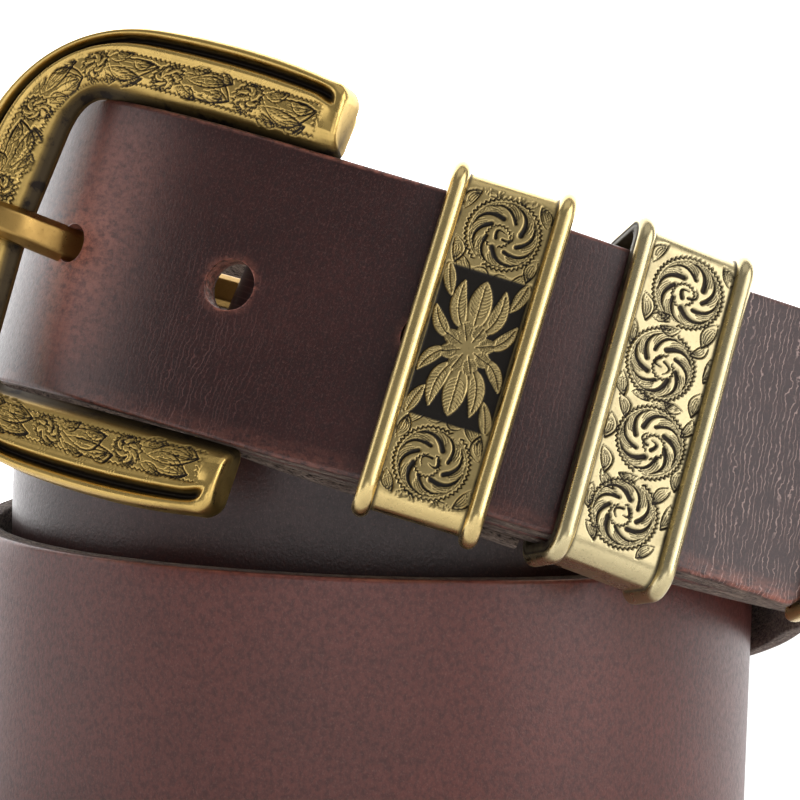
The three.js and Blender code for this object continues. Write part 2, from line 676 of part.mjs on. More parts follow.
function prongSections(grow) {
  const line = new THREE.CatmullRomCurve3(PRONG_LINE.map(({ x, z }) => new THREE.Vector3(x, 0, z)));
  const size = new THREE.SplineCurve(PRONG_LINE.map(({ width, thickness }) => v2(width, thickness)));
  const sections = [];
  for (let k = 0; k <= PRONG_STEPS; k += 1) {
    const part = k / PRONG_STEPS;
    const point = line.getPoint(part);
    const ahead = line.getTangent(part);
    const { x: width, y: thickness } = size.getPoint(part);
    const across = new THREE.Vector3(0, -1, 0);
    const out = ahead.clone().cross(across);
    const place = new THREE.Matrix4().makeBasis(ahead, across, out).setPosition(point);
    const outline = PRONG_SECTION.map(
      (row) => v2(row.across * (width / 2 + grow), row.up * (thickness / 2 + grow)),
    );
    sections.push({ place, outline });
  }
  return sections;
}

function prongManifold() {
  const eye = crossPin(BAR_RADIUS + CLEARANCE + PRONG.eyeWall, PRONG.eyeWidth);
  const bore = crossPin(BAR_RADIUS + CLEARANCE, PRONG.eyeWidth * 2);
  return join([eye, sweep(prongSections(0))]).subtract(toManifold(bore));
}

// Materials
const leather = () => new THREE.MeshStandardMaterial({ color: 0x5a3f3b, roughness: 0.42, metalness: 0 });
const brass = () => new THREE.MeshStandardMaterial({ color: 0xb39a5c, roughness: 0.3, metalness: 1 });
const steel = () => new THREE.MeshStandardMaterial({ color: 0x8d8a84, roughness: 0.4, metalness: 1 });

function addPiece(parent, name, geometry, material, place) {
  const mesh = new THREE.Mesh(geometry, material);
  mesh.name = name;
  if (place) mesh.applyMatrix4(place);
  parent.add(mesh);
}

const coil = new THREE.Group();
const prongRoom = toManifold(sweep(prongSections(CLEARANCE))).transform(BUCKLE_PLACE.elements);
const cuts = strapCuts(prongRoom);
STRAP_LENGTHS.forEach((name, number) => {
  addPiece(coil, name, strapGeometry(number, cuts), leather());
});
addPiece(coil, 'buckle_frame', frameGeometry(), brass(), FRAME_PLACE);
addPiece(coil, 'prong', toGeometry(prongManifold()), brass(), BUCKLE_PLACE);
KEEPERS.forEach(({ name, turn, tilt, rise, slack }) => {
  const tilted = new THREE.Matrix4().makeRotationZ(THREE.MathUtils.degToRad(tilt));
  const place = shifted(placeAt(turn), 0, rise, 0).multiply(tilted);
  addPiece(coil, name, keeperGeometry(slack), brass(), place);
});
addPiece(coil, 'belt_tip', tipGeometry(), brass());
STUD_PLACES.forEach((length, k) => {
  addPiece(coil, `fold_stud_${k + 1}`, studGeometry(), steel(), studPlace(length));
});

// The origin is under the middle of the whole belt, on the surface that it stands on
const box = new THREE.Box3().setFromObject(coil, true);
const middle = box.getCenter(new THREE.Vector3());
coil.position.set(-middle.x, -middle.y, -box.min.z);

const belt = new THREE.Group();
belt.add(coil);

export default belt;
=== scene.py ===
"""A western belt, buckled and coiled on its lower edge.

Each piece is built in millimetres along the belt's own path and stands for its CAD node.
"""

import bpy
import numpy as np
from mathutils import Matrix


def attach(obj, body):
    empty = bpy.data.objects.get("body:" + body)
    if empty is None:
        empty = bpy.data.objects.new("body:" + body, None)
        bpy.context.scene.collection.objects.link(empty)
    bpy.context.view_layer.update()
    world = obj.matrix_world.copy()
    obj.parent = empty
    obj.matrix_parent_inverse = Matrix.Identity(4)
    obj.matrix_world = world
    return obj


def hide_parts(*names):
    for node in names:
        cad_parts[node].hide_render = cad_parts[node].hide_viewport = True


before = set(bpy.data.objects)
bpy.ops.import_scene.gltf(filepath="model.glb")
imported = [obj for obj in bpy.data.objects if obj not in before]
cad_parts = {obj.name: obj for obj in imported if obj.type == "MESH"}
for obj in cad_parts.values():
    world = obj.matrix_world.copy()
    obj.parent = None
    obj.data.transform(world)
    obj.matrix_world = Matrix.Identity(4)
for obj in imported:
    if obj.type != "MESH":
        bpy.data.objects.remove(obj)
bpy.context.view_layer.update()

# Sizes in millimetres, as in the CAD part

MM = 0.001
COIL_SHIFT = np.array([-15.798, 2.973, 0.0])
WIDTH = 38.0
THICKNESS = 3.0
HALF = THICKNESS / 2
CLEARANCE = 0.35
LAYER_PITCH = 3.5
FOLD_THICKNESS = 2.0
FOLD_LENGTH = 40.7
SKIVE_LENGTH = 19.0
BAR_RADIUS = 2.0
BAR_HALF = 19.6
BAR_DEPTH = HALF - FOLD_THICKNESS - CLEARANCE - BAR_RADIUS
HOLE_RADIUS = 3.25
HOLE_PITCH = 25.6
BAR_TO_HOLE = 2.3
TIP_LENGTH = 33.5
TIP_WALL = 1.1
TIP_GROW = CLEARANCE + TIP_WALL
TIP_RADIUS = WIDTH / 2 - TIP_GROW
ENGRAVED_DEPTH = 0.3

# Rows of turn in degrees, radius, height and lean in degrees
COIL = np.array([
    (-18, 42.8, 71.4, 16.4), (-14, 43.25, 70.6, 16), (0, 45, 68, 17), (14, 47.6, 65, 18),
    (30, 52.5, 60.6, 18), (38, 55.55, 58.1, 18), (46, 59, 55.6, 18), (56, 61.85, 52.5, 17),
    (66, 59.9, 50, 13), (78, 56.1, 47.4, 8), (90, 54.6, 44.8, 5), (115, 53.9, 38.6, 1),
    (145, 53.8, 31.8, 0), (180, 53.3, 25.5, 0), (225, 51.6, 20.8, 0), (270, 49.6, 19, 0),
    (315, 49, 19, 0), (360, 49.2, 19, 0), (405, 50, 19, 0), (450, 50.5, 19, 0), (495, 49.9, 19, 0),
    (540, 49, 19.4, 0), (585, 47, 22, 0), (630, 44.6, 27.5, 0), (675, 40.6, 33.4, 0),
    (705, 37.8, 35.6, 0), (735, 38.8, 36.8, 0), (765, 43.6, 38.4, 0), (810, 46.3, 42, 0),
    (855, 45.4, 49, 0), (900, 44, 57, 1), (945, 43.2, 66, 6), (975, 43.8, 72, 11),
    (1000, 44.8, 75.3, 14), (1028, 46.1, 76.2, 15), (1066, 46.8, 71.5, 16),
    (1080, 48.7, 68.9, 17), (1094, 51.3, 65.9, 18), (1118, 59.5, 58.9, 18),
    (1133, 67.5, 53.6, 18), (1153, 91, 42.6, 18),
])
FIRST_TURN = COIL[0, 0]
LAST_TURN = COIL[-1, 0]
BAR_TURN = FIRST_TURN + 1080

# The path


def natural_spline(column):
    x, y = COIL[:, 0], COIL[:, column]
    count = len(x)
    step = np.diff(x)
    slope = np.diff(y) / step
    matrix = np.eye(count)
    aim = np.zeros(count)
    for i in range(1, count - 1):
        matrix[i, i - 1 : i + 2] = step[i - 1], 2 * (step[i - 1] + step[i]), step[i]
        aim[i] = 6 * (slope[i] - slope[i - 1])
    bend = np.linalg.solve(matrix, aim)

    def at(turn):
        i = np.clip(np.searchsorted(x, turn) - 1, 0, count - 2)
        span = x[i + 1] - x[i]
        a = (x[i + 1] - turn) / span
        b = 1 - a
        curve = (a**3 - a) * bend[i] + (b**3 - b) * bend[i + 1]
        return a * y[i] + b * y[i + 1] + curve * span * span / 6

    return at


radius_at, height_line, lean_at = (natural_spline(column) for column in (1, 2, 3))


def unit(vectors):
    return vectors / np.linalg.norm(vectors, axis=-1, keepdims=True)


def middle_at(turn):
    angle = np.radians(turn)
    radius = radius_at(turn)
    height = np.maximum(height_line(turn), WIDTH / 2)
    return np.stack([radius * np.sin(angle), -radius * np.cos(angle), height], -1)


def places_at(turn):
    """Places on the strap, each a 4x4 matrix: x along it, y across it, z out of its grain."""
    turn = np.atleast_1d(np.asarray(turn, float))
    along = unit(middle_at(turn + 0.5) - middle_at(turn - 0.5))
    up = np.array([0.0, 0.0, 1.0])
    level = unit(np.cross(along, up))
    lean = np.radians(lean_at(turn))[:, None]
    across = np.cos(lean) * up - np.sin(lean) * level
    across = unit(across - np.sum(across * along, -1, keepdims=True) * along)
    place = np.tile(np.eye(4), (len(turn), 1, 1))
    place[:, :3] = np.stack([along, across, np.cross(along, across), middle_at(turn)], -1)
    return place


def run_lengths(path):
    """The length along a path up to each of its points."""
    return np.concatenate([[0], np.cumsum(np.linalg.norm(np.diff(path, axis=0), axis=1))])


def points_along(at, lengths, path):
    return np.stack([np.interp(at, lengths, path[:, i]) for i in (0, 1)], -1)


TURNS = np.arange(FIRST_TURN, LAST_TURN + 0.05, 0.1)
LENGTHS = run_lengths(middle_at(TURNS))
TOTAL = LENGTHS[-1]


def turn_of(length):
    return np.interp(length, LENGTHS, TURNS)


def length_of(turn):
    return np.interp(turn, TURNS, LENGTHS)


def place_of(length):
    return places_at(turn_of(length))[0]


def turned(axis, degrees):
    return np.array(Matrix.Rotation(np.radians(degrees), 4, axis))


def shift(x, y, z):
    return np.array(Matrix.Translation((x, y, z)))


def put(place, points):
    """Points given in a place's own axes."""
    return np.asarray(points, float) @ place[:3, :3].T + place[:3, 3]


TONGUE_LENGTH = TOTAL - TIP_RADIUS - TIP_GROW
TIP_START = TOTAL - TIP_LENGTH
BAR_LENGTH = length_of(BAR_TURN)
HOLE_LENGTHS = [BAR_LENGTH + HOLE_PITCH - BAR_TO_HOLE - k * HOLE_PITCH for k in range(5)]
OPEN_HOLE, USED_HOLE = HOLE_LENGTHS[1:3]
BAR_PLACE = places_at(FIRST_TURN)[0] @ shift(0, 0, BAR_DEPTH)
BUCKLE_PLACE = BAR_PLACE @ turned("Y", -2.8) @ turned("Z", 4.6)
FRAME_DROP = 0.4
FRAME_PLACE = BUCKLE_PLACE @ shift(0, -FRAME_DROP, 0)

# Smooth steps and directions


def smooth(low, high, values):
    share = np.clip((np.asarray(values, float) - low) / (high - low), 0, 1)
    return share * share * (3 - 2 * share)


def window(values, rise, full, fade, end):
    """1 between full and fade, falling smoothly to 0 at rise and at end."""
    return smooth(rise, full, values) * smooth(end, fade, values)


def bell(distances, width):
    return np.exp(-((distances / width) ** 2))


def signed_power(values, power):
    return np.sign(values) * np.abs(values) ** power


def heading(degrees):
    angle = np.radians(degrees)
    return np.stack([np.cos(angle), np.sin(angle)], -1)


def left_of(vectors):
    """Vectors in a plane turned a quarter to the left."""
    return np.stack([-vectors[..., 1], vectors[..., 0]], -1)


# Meshes


def grid_faces(rows, columns, close_rows=False, close_columns=False, kept=None):
    """Quads over a grid of points. kept is a mask over the cells."""
    r = np.arange(rows if close_rows else rows - 1)
    c = np.arange(columns if close_columns else columns - 1)
    r, c = np.meshgrid(r, c, indexing="ij")
    if kept is not None:
        r, c = r[kept], c[kept]
    r, c = r.ravel(), c.ravel()
    r2, c2 = (r + 1) % rows, (c + 1) % columns
    corners = [r * columns + c, r * columns + c2, r2 * columns + c2, r2 * columns + c]
    return np.stack(corners, -1).tolist()


def tube_faces(rows, columns, flip=False, kept=None):
    """Faces of a tube of closed rings, with one face over each end."""
    faces = grid_faces(rows, columns, close_columns=True, kept=kept)
    faces.append(list(range(columns))[::-1])
    faces.append(list(range((rows - 1) * columns, rows * columns)))
    return [face[::-1] for face in faces] if flip else faces


def joined(parts):
    """Points and faces of several (points, faces) as one."""
    points, faces = [], []
    for spots, part_faces in parts:
        start = sum(map(len, points))
        points.append(spots)
        faces += [[i + start for i in face] for face in part_faces]
    return np.concatenate(points), faces


def grid_points(x, y, z):
    """Points of a grid, row by row, from coordinates that broadcast together."""
    return np.stack(np.broadcast_arrays(x, y, z), -1).reshape(-1, 3)


def add_object(name, data):
    thing = bpy.data.objects.new(name, data)
    bpy.context.scene.collection.objects.link(thing)
    return thing


def build(name, nodes, slot, material, points, faces, **attributes):
    """One piece of the belt. Its points are in the coil's millimetres."""
    mesh = bpy.data.meshes.new(name)
    mesh.from_pydata(((points + COIL_SHIFT) * MM).tolist(), [], faces)
    mesh.validate()
    for key, values in attributes.items():
        kind, field = ("FLOAT", "value") if values.ndim == 1 else ("FLOAT_VECTOR", "vector")
        mesh.attributes.new(key, kind, "POINT").data.foreach_set(field, values.ravel())
    is_cap = np.array([face.loop_total > 4 for face in mesh.polygons])
    mesh.polygons.foreach_set("use_smooth", ~is_cap)
    mesh.materials.append(material)
    piece = add_object(name, mesh)
    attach(piece, "root")
    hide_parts(*nodes)


def lathe(profile, sides, close_profile=False):
    """A round part about z, from rows of (radius, height)."""
    radius, height = np.array(profile, float).T[..., None]
    across, up = heading(np.linspace(0, 360, sides, endpoint=False)).T
    points = grid_points(radius * across, radius * up, height)
    if close_profile:
        return points, grid_faces(len(profile), sides, close_rows=True, close_columns=True)
    return points, tube_faces(len(profile), sides)


# Materials


class Shader:
    """A node material made of small steps. Inputs are sockets or plain values."""

    def __init__(self, name):
        self.material = bpy.data.materials.new(name)
        self.material.use_nodes = True
        self.tree = self.material.node_tree
        self.surface = self.tree.nodes["Principled BSDF"]

    def feed(self, socket, value):
        if isinstance(value, bpy.types.NodeSocket):
            self.tree.links.new(value, socket)
        else:
            socket.default_value = value

    def node(self, kind, inputs, **settings):
        node = self.tree.nodes.new("ShaderNode" + kind)
        for key, value in settings.items():
            setattr(node, key, value)
        for key, value in inputs.items():
            self.feed(node.inputs[key], value)
        return node.outputs

    def attribute(self, name, output="Fac"):
        return self.node("Attribute", {}, attribute_name=name)[output]

    def times(self, first, second):
        return self.node("Math", {0: first, 1: second}, operation="MULTIPLY")[0]

    def plus(self, first, second, clamp=False):
        return self.node("Math", {0: first, 1: second}, operation="ADD", use_clamp=clamp)[0]

    def noise(self, vector, scale, detail=4.0, roughness=0.55):
        """Noise with scale cells a millimetre along each axis."""
        vector = self.node("VectorMath", {0: vector, 1: scale}, operation="MULTIPLY")["Vector"]
        inputs = {"Vector": vector, "Scale": 1.0, "Detail": detail, "Roughness": roughness}
        return self.node("TexNoise", inputs)["Fac"]

    def ramp(self, value, low, high, to_low=0.0, to_high=1.0):
        inputs = {"Value": value, "From Min": low, "From Max": high, "To Min": to_low, "To Max": to_high}
        return self.node("MapRange", inputs, interpolation_type="SMOOTHSTEP")["Result"]

    def blend(self, share, first, second):
        return self.node("Mix", {0: share, 6: first, 7: second}, data_type="RGBA")[2]

    def bump(self, height, strength, distance, **normal):
        inputs = {"Height": height, "Strength": strength, "Distance": distance * MM, **normal}
        return self.node("Bump", inputs)["Normal"]

    def finish(self, **inputs):
        for key, value in inputs.items():
            self.feed(self.surface.inputs[key.replace("_", " ")], value)
        return self.material


def colour(red, green, blue):
    """Linear colour of an sRGB one given in 0 to 255."""
    share = np.array([red, green, blue]) / 255
    linear = np.where(share <= 0.04045, share / 12.92, ((share + 0.055) / 1.055) ** 2.4)
    return (*linear.tolist(), 1.0)


SKIN_DARK, SKIN_LIGHT = colour(48, 21, 20), colour(62, 31, 29)
# The pale rubbed colour also serves as the painted highlight along the strap's top edge.
SKIN_AGED, SKIN_RUB_AND_HIGHLIGHT = colour(108, 53, 45), colour(168, 102, 84)
PORE_DARK, SPECK_PALE = colour(28, 11, 12), colour(128, 92, 86)
CREASE_FAINT, CREASE_PALE = colour(124, 76, 70), colour(176, 148, 140)
CUT_DARK, CUT_PALE, CUT_PIT = colour(70, 54, 49), colour(150, 131, 118), colour(22, 15, 14)
CREASE_PITCH = 0.62


def leather_material():
    """Waxed grain with creases and rubbed places, a painted highlight along the top edge, and rough fibres on
    the cut edges and the flesh side.
    """
    shader = Shader("strap_leather")
    times, plus, ramp, blend = shader.times, shader.plus, shader.ramp, shader.blend
    belt = shader.attribute("belt", "Vector")
    raw, rub_and_highlight, creased, aged = map(shader.attribute, ("raw", "rub_and_highlight", "creased", "aged"))

    def noise(scale, detail=4.0, roughness=0.55):
        return shader.noise(belt, scale, detail, roughness)

    grain = noise((1.6, 1.2, 1.2), 6, 0.65)
    skin = blend(ramp(noise((0.03, 0.05, 0.05), 3), 0.35, 0.7), SKIN_DARK, SKIN_LIGHT)
    mottled = ramp(noise((0.07, 0.11, 0.1)), 0.3, 0.7, 0.8, 1)
    skin = blend(times(aged, mottled), skin, SKIN_AGED)
    skin = blend(ramp(grain, 0.38, 0.66, 0, 0.5), skin, PORE_DARK)
    skin = blend(ramp(noise((4.5, 3.2, 3.2), roughness=0.7), 0.5, 0.72, 0, 0.3), skin, SPECK_PALE)

    along = shader.node("SeparateXYZ", {0: belt})[0]
    phase = times(along, 2 * np.pi / CREASE_PITCH)
    phase = plus(phase, times(noise((0.3, 0.13, 0.3), 2), 22.0))
    phase = plus(phase, times(noise((1.0, 0.9, 0.9), 3), 10.0))
    wave = shader.node("Math", {0: phase}, operation="SINE")[0]
    broken = ramp(noise((1.3, 0.35, 0.5), 3), 0.34, 0.6)
    crease = times(times(ramp(wave, 0.72, 1.0), creased), broken)
    pale_crease = blend(ramp(creased, 0.4, 0.7), CREASE_FAINT, CREASE_PALE)
    skin = blend(times(crease, 0.8), skin, pale_crease)

    # Paler where rubbed, and along the top edge as a painted highlight.
    rub_and_highlight_share = times(rub_and_highlight, ramp(noise((0.9, 1.4, 1.0), 6, 0.7), 0.34, 0.62))
    skin = blend(rub_and_highlight_share, skin, SKIN_RUB_AND_HIGHLIGHT)

    fibre = noise((0.55, 2.2, 2.2), 8, 0.72)
    pits = noise((1.43, 3.38, 3.38), 3)
    edge = blend(ramp(fibre, 0.3, 0.72), CUT_DARK, CUT_PALE)
    edge = blend(ramp(pits, 0.52, 0.68, 0, 0.9), edge, CUT_PIT)

    rough_skin = ramp(grain, 0.3, 0.8, 0.3, 0.42)
    normal = shader.bump(noise((3.2, 2.4, 2.4), 3), 0.4, 0.1)
    normal = shader.bump(crease, 0.3, 0.12, Normal=normal)
    return shader.finish(
        Base_Color=blend(raw, skin, edge),
        Roughness=shader.node("Mix", {0: raw, 2: rough_skin, 3: 0.9})[0],
        Normal=shader.bump(times(raw, plus(fibre, pits)), 0.8, 0.5, Normal=normal),
        Specular_IOR_Level=0.5,
    )


def brass_material(name, bright, dark, roughness):
    """Antiqued brass: dark in the cuts and where shade is painted, and rubbed bright where it stands proud.
    """
    shader = Shader(name)
    # This value holds the dark of the cuts and also painted shade on some faces.
    cavity = shader.attribute("cavity")
    local = shader.attribute("local", "Vector")
    cloudy = shader.noise(local, (0.35, 0.35, 0.35), 5, 0.6)
    speckle = shader.noise(local, (2.8, 2.8, 2.8), 3)
    shade = shader.plus(cavity, shader.ramp(cloudy, 0.5, 0.75, 0, 0.16), clamp=True)
    metal = shader.blend(shade, bright, dark)
    metal = shader.blend(shader.ramp(speckle, 0.56, 0.8, 0, 0.3), metal, dark)
    rough = shader.ramp(cloudy, 0.3, 0.75, roughness, roughness + 0.12)
    return shader.finish(
        Base_Color=metal,
        Metallic=shader.ramp(cavity, 0.5, 1, 1, 0.55),
        Roughness=shader.plus(rough, shader.times(cavity, 0.25), clamp=True),
        Normal=shader.bump(speckle, 0.12, 0.05),
    )


def steel_material():
    shader = Shader("stud_steel")
    brushed = shader.noise(shader.attribute("local", "Vector"), (6.0, 0.6, 0.6))
    return shader.finish(
        Base_Color=colour(150, 148, 142),
        Metallic=1.0,
        Roughness=shader.ramp(brushed, 0.3, 0.7, 0.28, 0.45),
        Normal=shader.bump(brushed, 0.1, 0.04),
    )


# Strap

STRAP_NODES = ("strap_buckle_end", "strap_outer_turn", "strap_inner_turn", "strap_tip_end")
STATION_STEP = 1.25
GRAIN_ROUNDING = 0.7
FLESH_ROUNDING = 0.4
# Grid round each hole: its step, its half width in steps, and that of what is cut out of it
FINE = 0.66
FINE_REACH = 10
CUT_REACH = 4
WALL_LEVELS = 4
WALL_RAWNESS = 0.3
USED_HOLE_SHRINK = 0.22


def strap_stations():
    """Lengths along the strap, with evenly fine ones round every hole."""
    lengths = [np.arange(0, TOTAL, STATION_STEP)]
    for hole in HOLE_LENGTHS:
        kept = [row[np.abs(row - hole) > FINE * (FINE_REACH + 1)] for row in lengths]
        lengths = [*kept, hole + FINE * np.arange(-FINE_REACH, FINE_REACH + 1)]
    lengths = np.sort(np.concatenate(lengths))
    return lengths[lengths < TONGUE_LENGTH]


def edge_outline():
    """Strap's outline as rows (across, sunk, face): face 1 is the grain, 0 the flesh side."""
    fine = FINE * np.arange(-FINE_REACH, FINE_REACH + 1)
    coarse = np.linspace(fine[-1], WIDTH / 2 - GRAIN_ROUNDING, 6)[1:]
    columns = np.concatenate([-coarse[::-1], fine, coarse])
    rows = [(v, 0, 1) for v in columns]
    for right, up in heading(np.linspace(90, 0, 6))[1:]:
        rows.append((WIDTH / 2 - GRAIN_ROUNDING * (1 - right), GRAIN_ROUNDING * (1 - up), 1))
    rows += [(WIDTH / 2, 0, share) for share in (0.6, 0.45, 0.3)]
    for right, up in heading(np.linspace(0, 90, 4))[1:-1]:
        rows.append((WIDTH / 2 - FLESH_ROUNDING * (1 - right), FLESH_ROUNDING * (up - 1), 0))
    back = [(v, 0, 0) for v in columns[::-1]]
    left = [(-v, sunk, face) for v, sunk, face in rows[len(columns) :][::-1]]
    return np.array([*rows, *back, *left]), len(columns)


def hole_shift(row, column, shrink):
    """Where a grid point round a hole moves to, given by its steps from the hole's middle."""
    reach = np.maximum(np.abs(row), np.abs(column))
    share = np.clip((reach - CUT_REACH) / (FINE_REACH - CUT_REACH), 0, 1) ** 0.8
    angle = np.degrees(np.arctan2(column, row))
    on_rim = HOLE_RADIUS * heading(angle)
    square = FINE * np.stack([row, column], -1)
    moved = on_rim + (square - on_rim) * share[..., None]
    inside = reach < CUT_REACH
    moved[inside] = (on_rim * (reach / CUT_REACH)[..., None])[inside]
    return moved * (1 - shrink * smooth(1, 0.4, reach / FINE_REACH))[..., None]


def hole_ring():
    """Grid steps round the edge of what is cut out for a hole, in turn."""
    line = np.arange(-CUT_REACH, CUT_REACH)
    side = np.full(len(line), CUT_REACH)
    return np.concatenate([-side, line, side, -line]), np.concatenate([line, side, -line, -side])


def strap_sections():
    """Along the strap from its fold-back: places, lengths, back heights and half widths."""
    fold = []
    for length in np.linspace(FOLD_LENGTH, 0, 30)[:-1]:
        fold.append((place_of(length) @ shift(0, 0, 2 * BAR_DEPTH) @ turned("Y", 180), -length))
    for roll in np.linspace(-180, 0, 22)[:-1]:
        fold.append((BAR_PLACE @ turned("Y", roll) @ shift(0, 0, -BAR_DEPTH), 0.001 * roll))
    sections = [(place, length, HALF - FOLD_THICKNESS, WIDTH / 2) for place, length in fold]
    lengths = strap_stations()
    backs = HALF - FOLD_THICKNESS - (THICKNESS - FOLD_THICKNESS) * smooth(0, SKIVE_LENGTH, lengths)
    halves = WIDTH / 2 - TIP_GROW * smooth(TIP_START - 1.8, TIP_START - 0.5, lengths)
    sections += zip(places_at(turn_of(lengths)), lengths, backs, halves)
    for angle in np.radians(np.linspace(0, 85, 16)):
        length = TONGUE_LENGTH + TIP_RADIUS * np.sin(angle)
        sections.append((place_of(length), length, -HALF, TIP_RADIUS * np.cos(angle)))
    return [np.array(column) for column in zip(*sections)]


def strap_wear(spots):
    """How rubbed, creased and aged the leather is, and where a highlight is painted along its top edge, from
    rows of (along, across, out of the grain).
    """
    lengths, sides, heights = spots.T
    past_bar = lengths - BAR_LENGTH
    grain_side = smooth(0.2, 1.2, heights)
    knots = np.arange(-60, TOTAL + 60, 9.0)
    waver = np.interp(lengths, knots, np.random.default_rng(3).uniform(0.5, 1, len(knots)))
    low_rub = smooth(-17.3, -18.9, sides) * np.where(past_bar > 58, 0.8, 0.4)
    # Painted highlight: a pale line along the top edge, where the bevel faces up into the light, strongest
    # near the buckle and keepers.
    top_edge_highlight = smooth(18.3, 18.75, sides) * (0.4 + 0.6 * window(past_bar, -30, 0, 30, 62))
    hole_gap = np.min([np.hypot(lengths - hole, sides) for hole in HOLE_LENGTHS], axis=0)
    rim_rub = 0.3 * smooth(4.4, 3.2, hole_gap)
    rim_rub += 0.5 * bell(np.hypot(lengths - USED_HOLE, sides), 7.0)
    rim_rub += 0.3 * bell(lengths - USED_HOLE - 3, 8.0) * smooth(20, 10, np.abs(sides))
    rub_and_highlight = grain_side * np.maximum.reduce([low_rub * waver, top_edge_highlight * waver, rim_rub])
    rub_and_highlight = np.maximum(rub_and_highlight, 0.9 * (hole_gap < HOLE_RADIUS + 0.05))

    creased = 0.35 * bell(lengths - OPEN_HOLE + 1, 9.0) * smooth(12, -9, sides)
    for amount, low, high in ((0.1, -40, -18), (0.2, 28, 40), (0.75, 58, 64)):
        creased += amount * smooth(low, high, past_bar)
    open_turn = window(lengths, *length_of([205, 250, 550, 600]))
    worn = bell(lengths - USED_HOLE - 2, 8.0) * smooth(24, 10, np.abs(sides))
    return {
        "rub_and_highlight": rub_and_highlight, "creased": np.clip(creased, 0, 1), "aged": np.maximum(0.75 * open_turn, 0.9 * worn),
    }


def strap_piece(material):
    outline, columns = edge_outline()
    places, lengths, backs, halves = strap_sections()
    rows, size = len(lengths), len(outline)
    along = np.zeros((rows, size))
    across = outline[:, 0] * halves[:, None] / (WIDTH / 2)
    height = backs[:, None] + (HALF - backs[:, None]) * outline[:, 2] - outline[:, 1]

    steps = np.arange(-FINE_REACH, FINE_REACH + 1)
    front = columns // 2 + steps
    back_start = np.flatnonzero(outline[:, 2] == 0)[2]
    back = back_start + columns - 1 - front
    near, far = FINE_REACH - CUT_REACH, FINE_REACH + CUT_REACH
    step_rows, step_columns = np.meshgrid(steps, steps, indexing="ij")
    kept = np.ones((rows - 1, size), bool)
    hole_rows = [int(np.argmin(np.abs(lengths - hole))) for hole in HOLE_LENGTHS]
    for hole, row in zip(HOLE_LENGTHS, hole_rows):
        moved = hole_shift(step_rows, step_columns, USED_HOLE_SHRINK if hole == USED_HOLE else 0)
        for side in (front, back):
            block = np.ix_(row + steps, side)
            along[block] = moved[..., 0] - FINE * step_rows
            across[block] = moved[..., 1]
        cells = slice(row - CUT_REACH, row + CUT_REACH)
        kept[cells, front[near] : front[far]] = False
        kept[cells, back[far] : back[near]] = False

    rings = np.stack([along, across, height], -1)
    points = [np.concatenate([put(place, ring) for place, ring in zip(places, rings)])]
    spots = [grid_points(along + lengths[:, None], across, height)]
    is_grain = outline[:, 2] == 1
    outline_raw = np.where(is_grain, smooth(0.3, 0.62, outline[:, 1]), 1)
    raw = [np.tile(outline_raw, rows)]
    faces = tube_faces(rows, size, kept=kept)

    ring_rows, ring_columns = hole_ring()
    around = len(ring_rows)
    start = rows * size
    for row in hole_rows:
        rim, back_rim = ((row + ring_rows) * size + side[FINE_REACH + ring_columns] for side in (front, back))
        for values in (points, spots):
            first, last = values[0][rim], values[0][back_rim]
            shares = np.linspace(0, 1, WALL_LEVELS + 2)[1:-1]
            values.append(np.concatenate([first + (last - first) * share for share in shares]))
        raw.append(np.full(WALL_LEVELS * around, WALL_RAWNESS))
        walls = start + np.arange(WALL_LEVELS * around).reshape(WALL_LEVELS, around)
        loops = [rim, *walls, back_rim]
        for above, below in zip(loops, loops[1:]):
            faces += np.stack([above, below, np.roll(below, -1), np.roll(above, -1)], -1).tolist()
        start += WALL_LEVELS * around

    spots = np.concatenate(spots)
    build(
        "strap_leather", STRAP_NODES, "strap_leather", material, np.concatenate(points), faces,
        belt=spots, raw=np.concatenate(raw), **strap_wear(spots),
    )


# Engraving: strokes are (points, half widths, depth) in the plane of what they are cut into


def comma(start, end, bow, width, depth=1.0):
    """A cut between two points that bows to its left, thin at its tail and full at its head."""
    start, end = np.array(start, float), np.array(end, float)
    share = np.linspace(0, 1, 9)
    bowed = (bow * 4 * share * (1 - share))[:, None] * left_of(end - start)
    points = start + share[:, None] * (end - start) + bowed
    return points, width * (0.12 + 0.88 * share**0.75) / 2, depth


def hair(start, end, bow, width, depth):
    points, widths, _ = comma(start, end, bow, width)
    return points, np.full(len(points), width / 2), depth


def zigzag(path, pitch=0.62, swing=0.17, width=0.24, depth=1.0):
    path = np.asarray(path, float)
    lengths = run_lengths(path)
    count = max(int(round(2 * lengths[-1] / pitch)), 2)
    middle = points_along(np.linspace(0, lengths[-1], count + 1), lengths, path)
    side = left_of(unit(np.gradient(middle, axis=0)))
    sign = np.where(np.arange(count + 1) % 2, 1, -1)[:, None]
    return middle + side * sign * swing, np.full(count + 1, width / 2), depth


def ring_path(x, y, radii, start, sweep):
    """An arc about a point, whose radius goes from the first of radii to the second."""
    return np.array([x, y]) + np.linspace(*radii, 60)[:, None] * heading(start + np.linspace(0, sweep, 60))


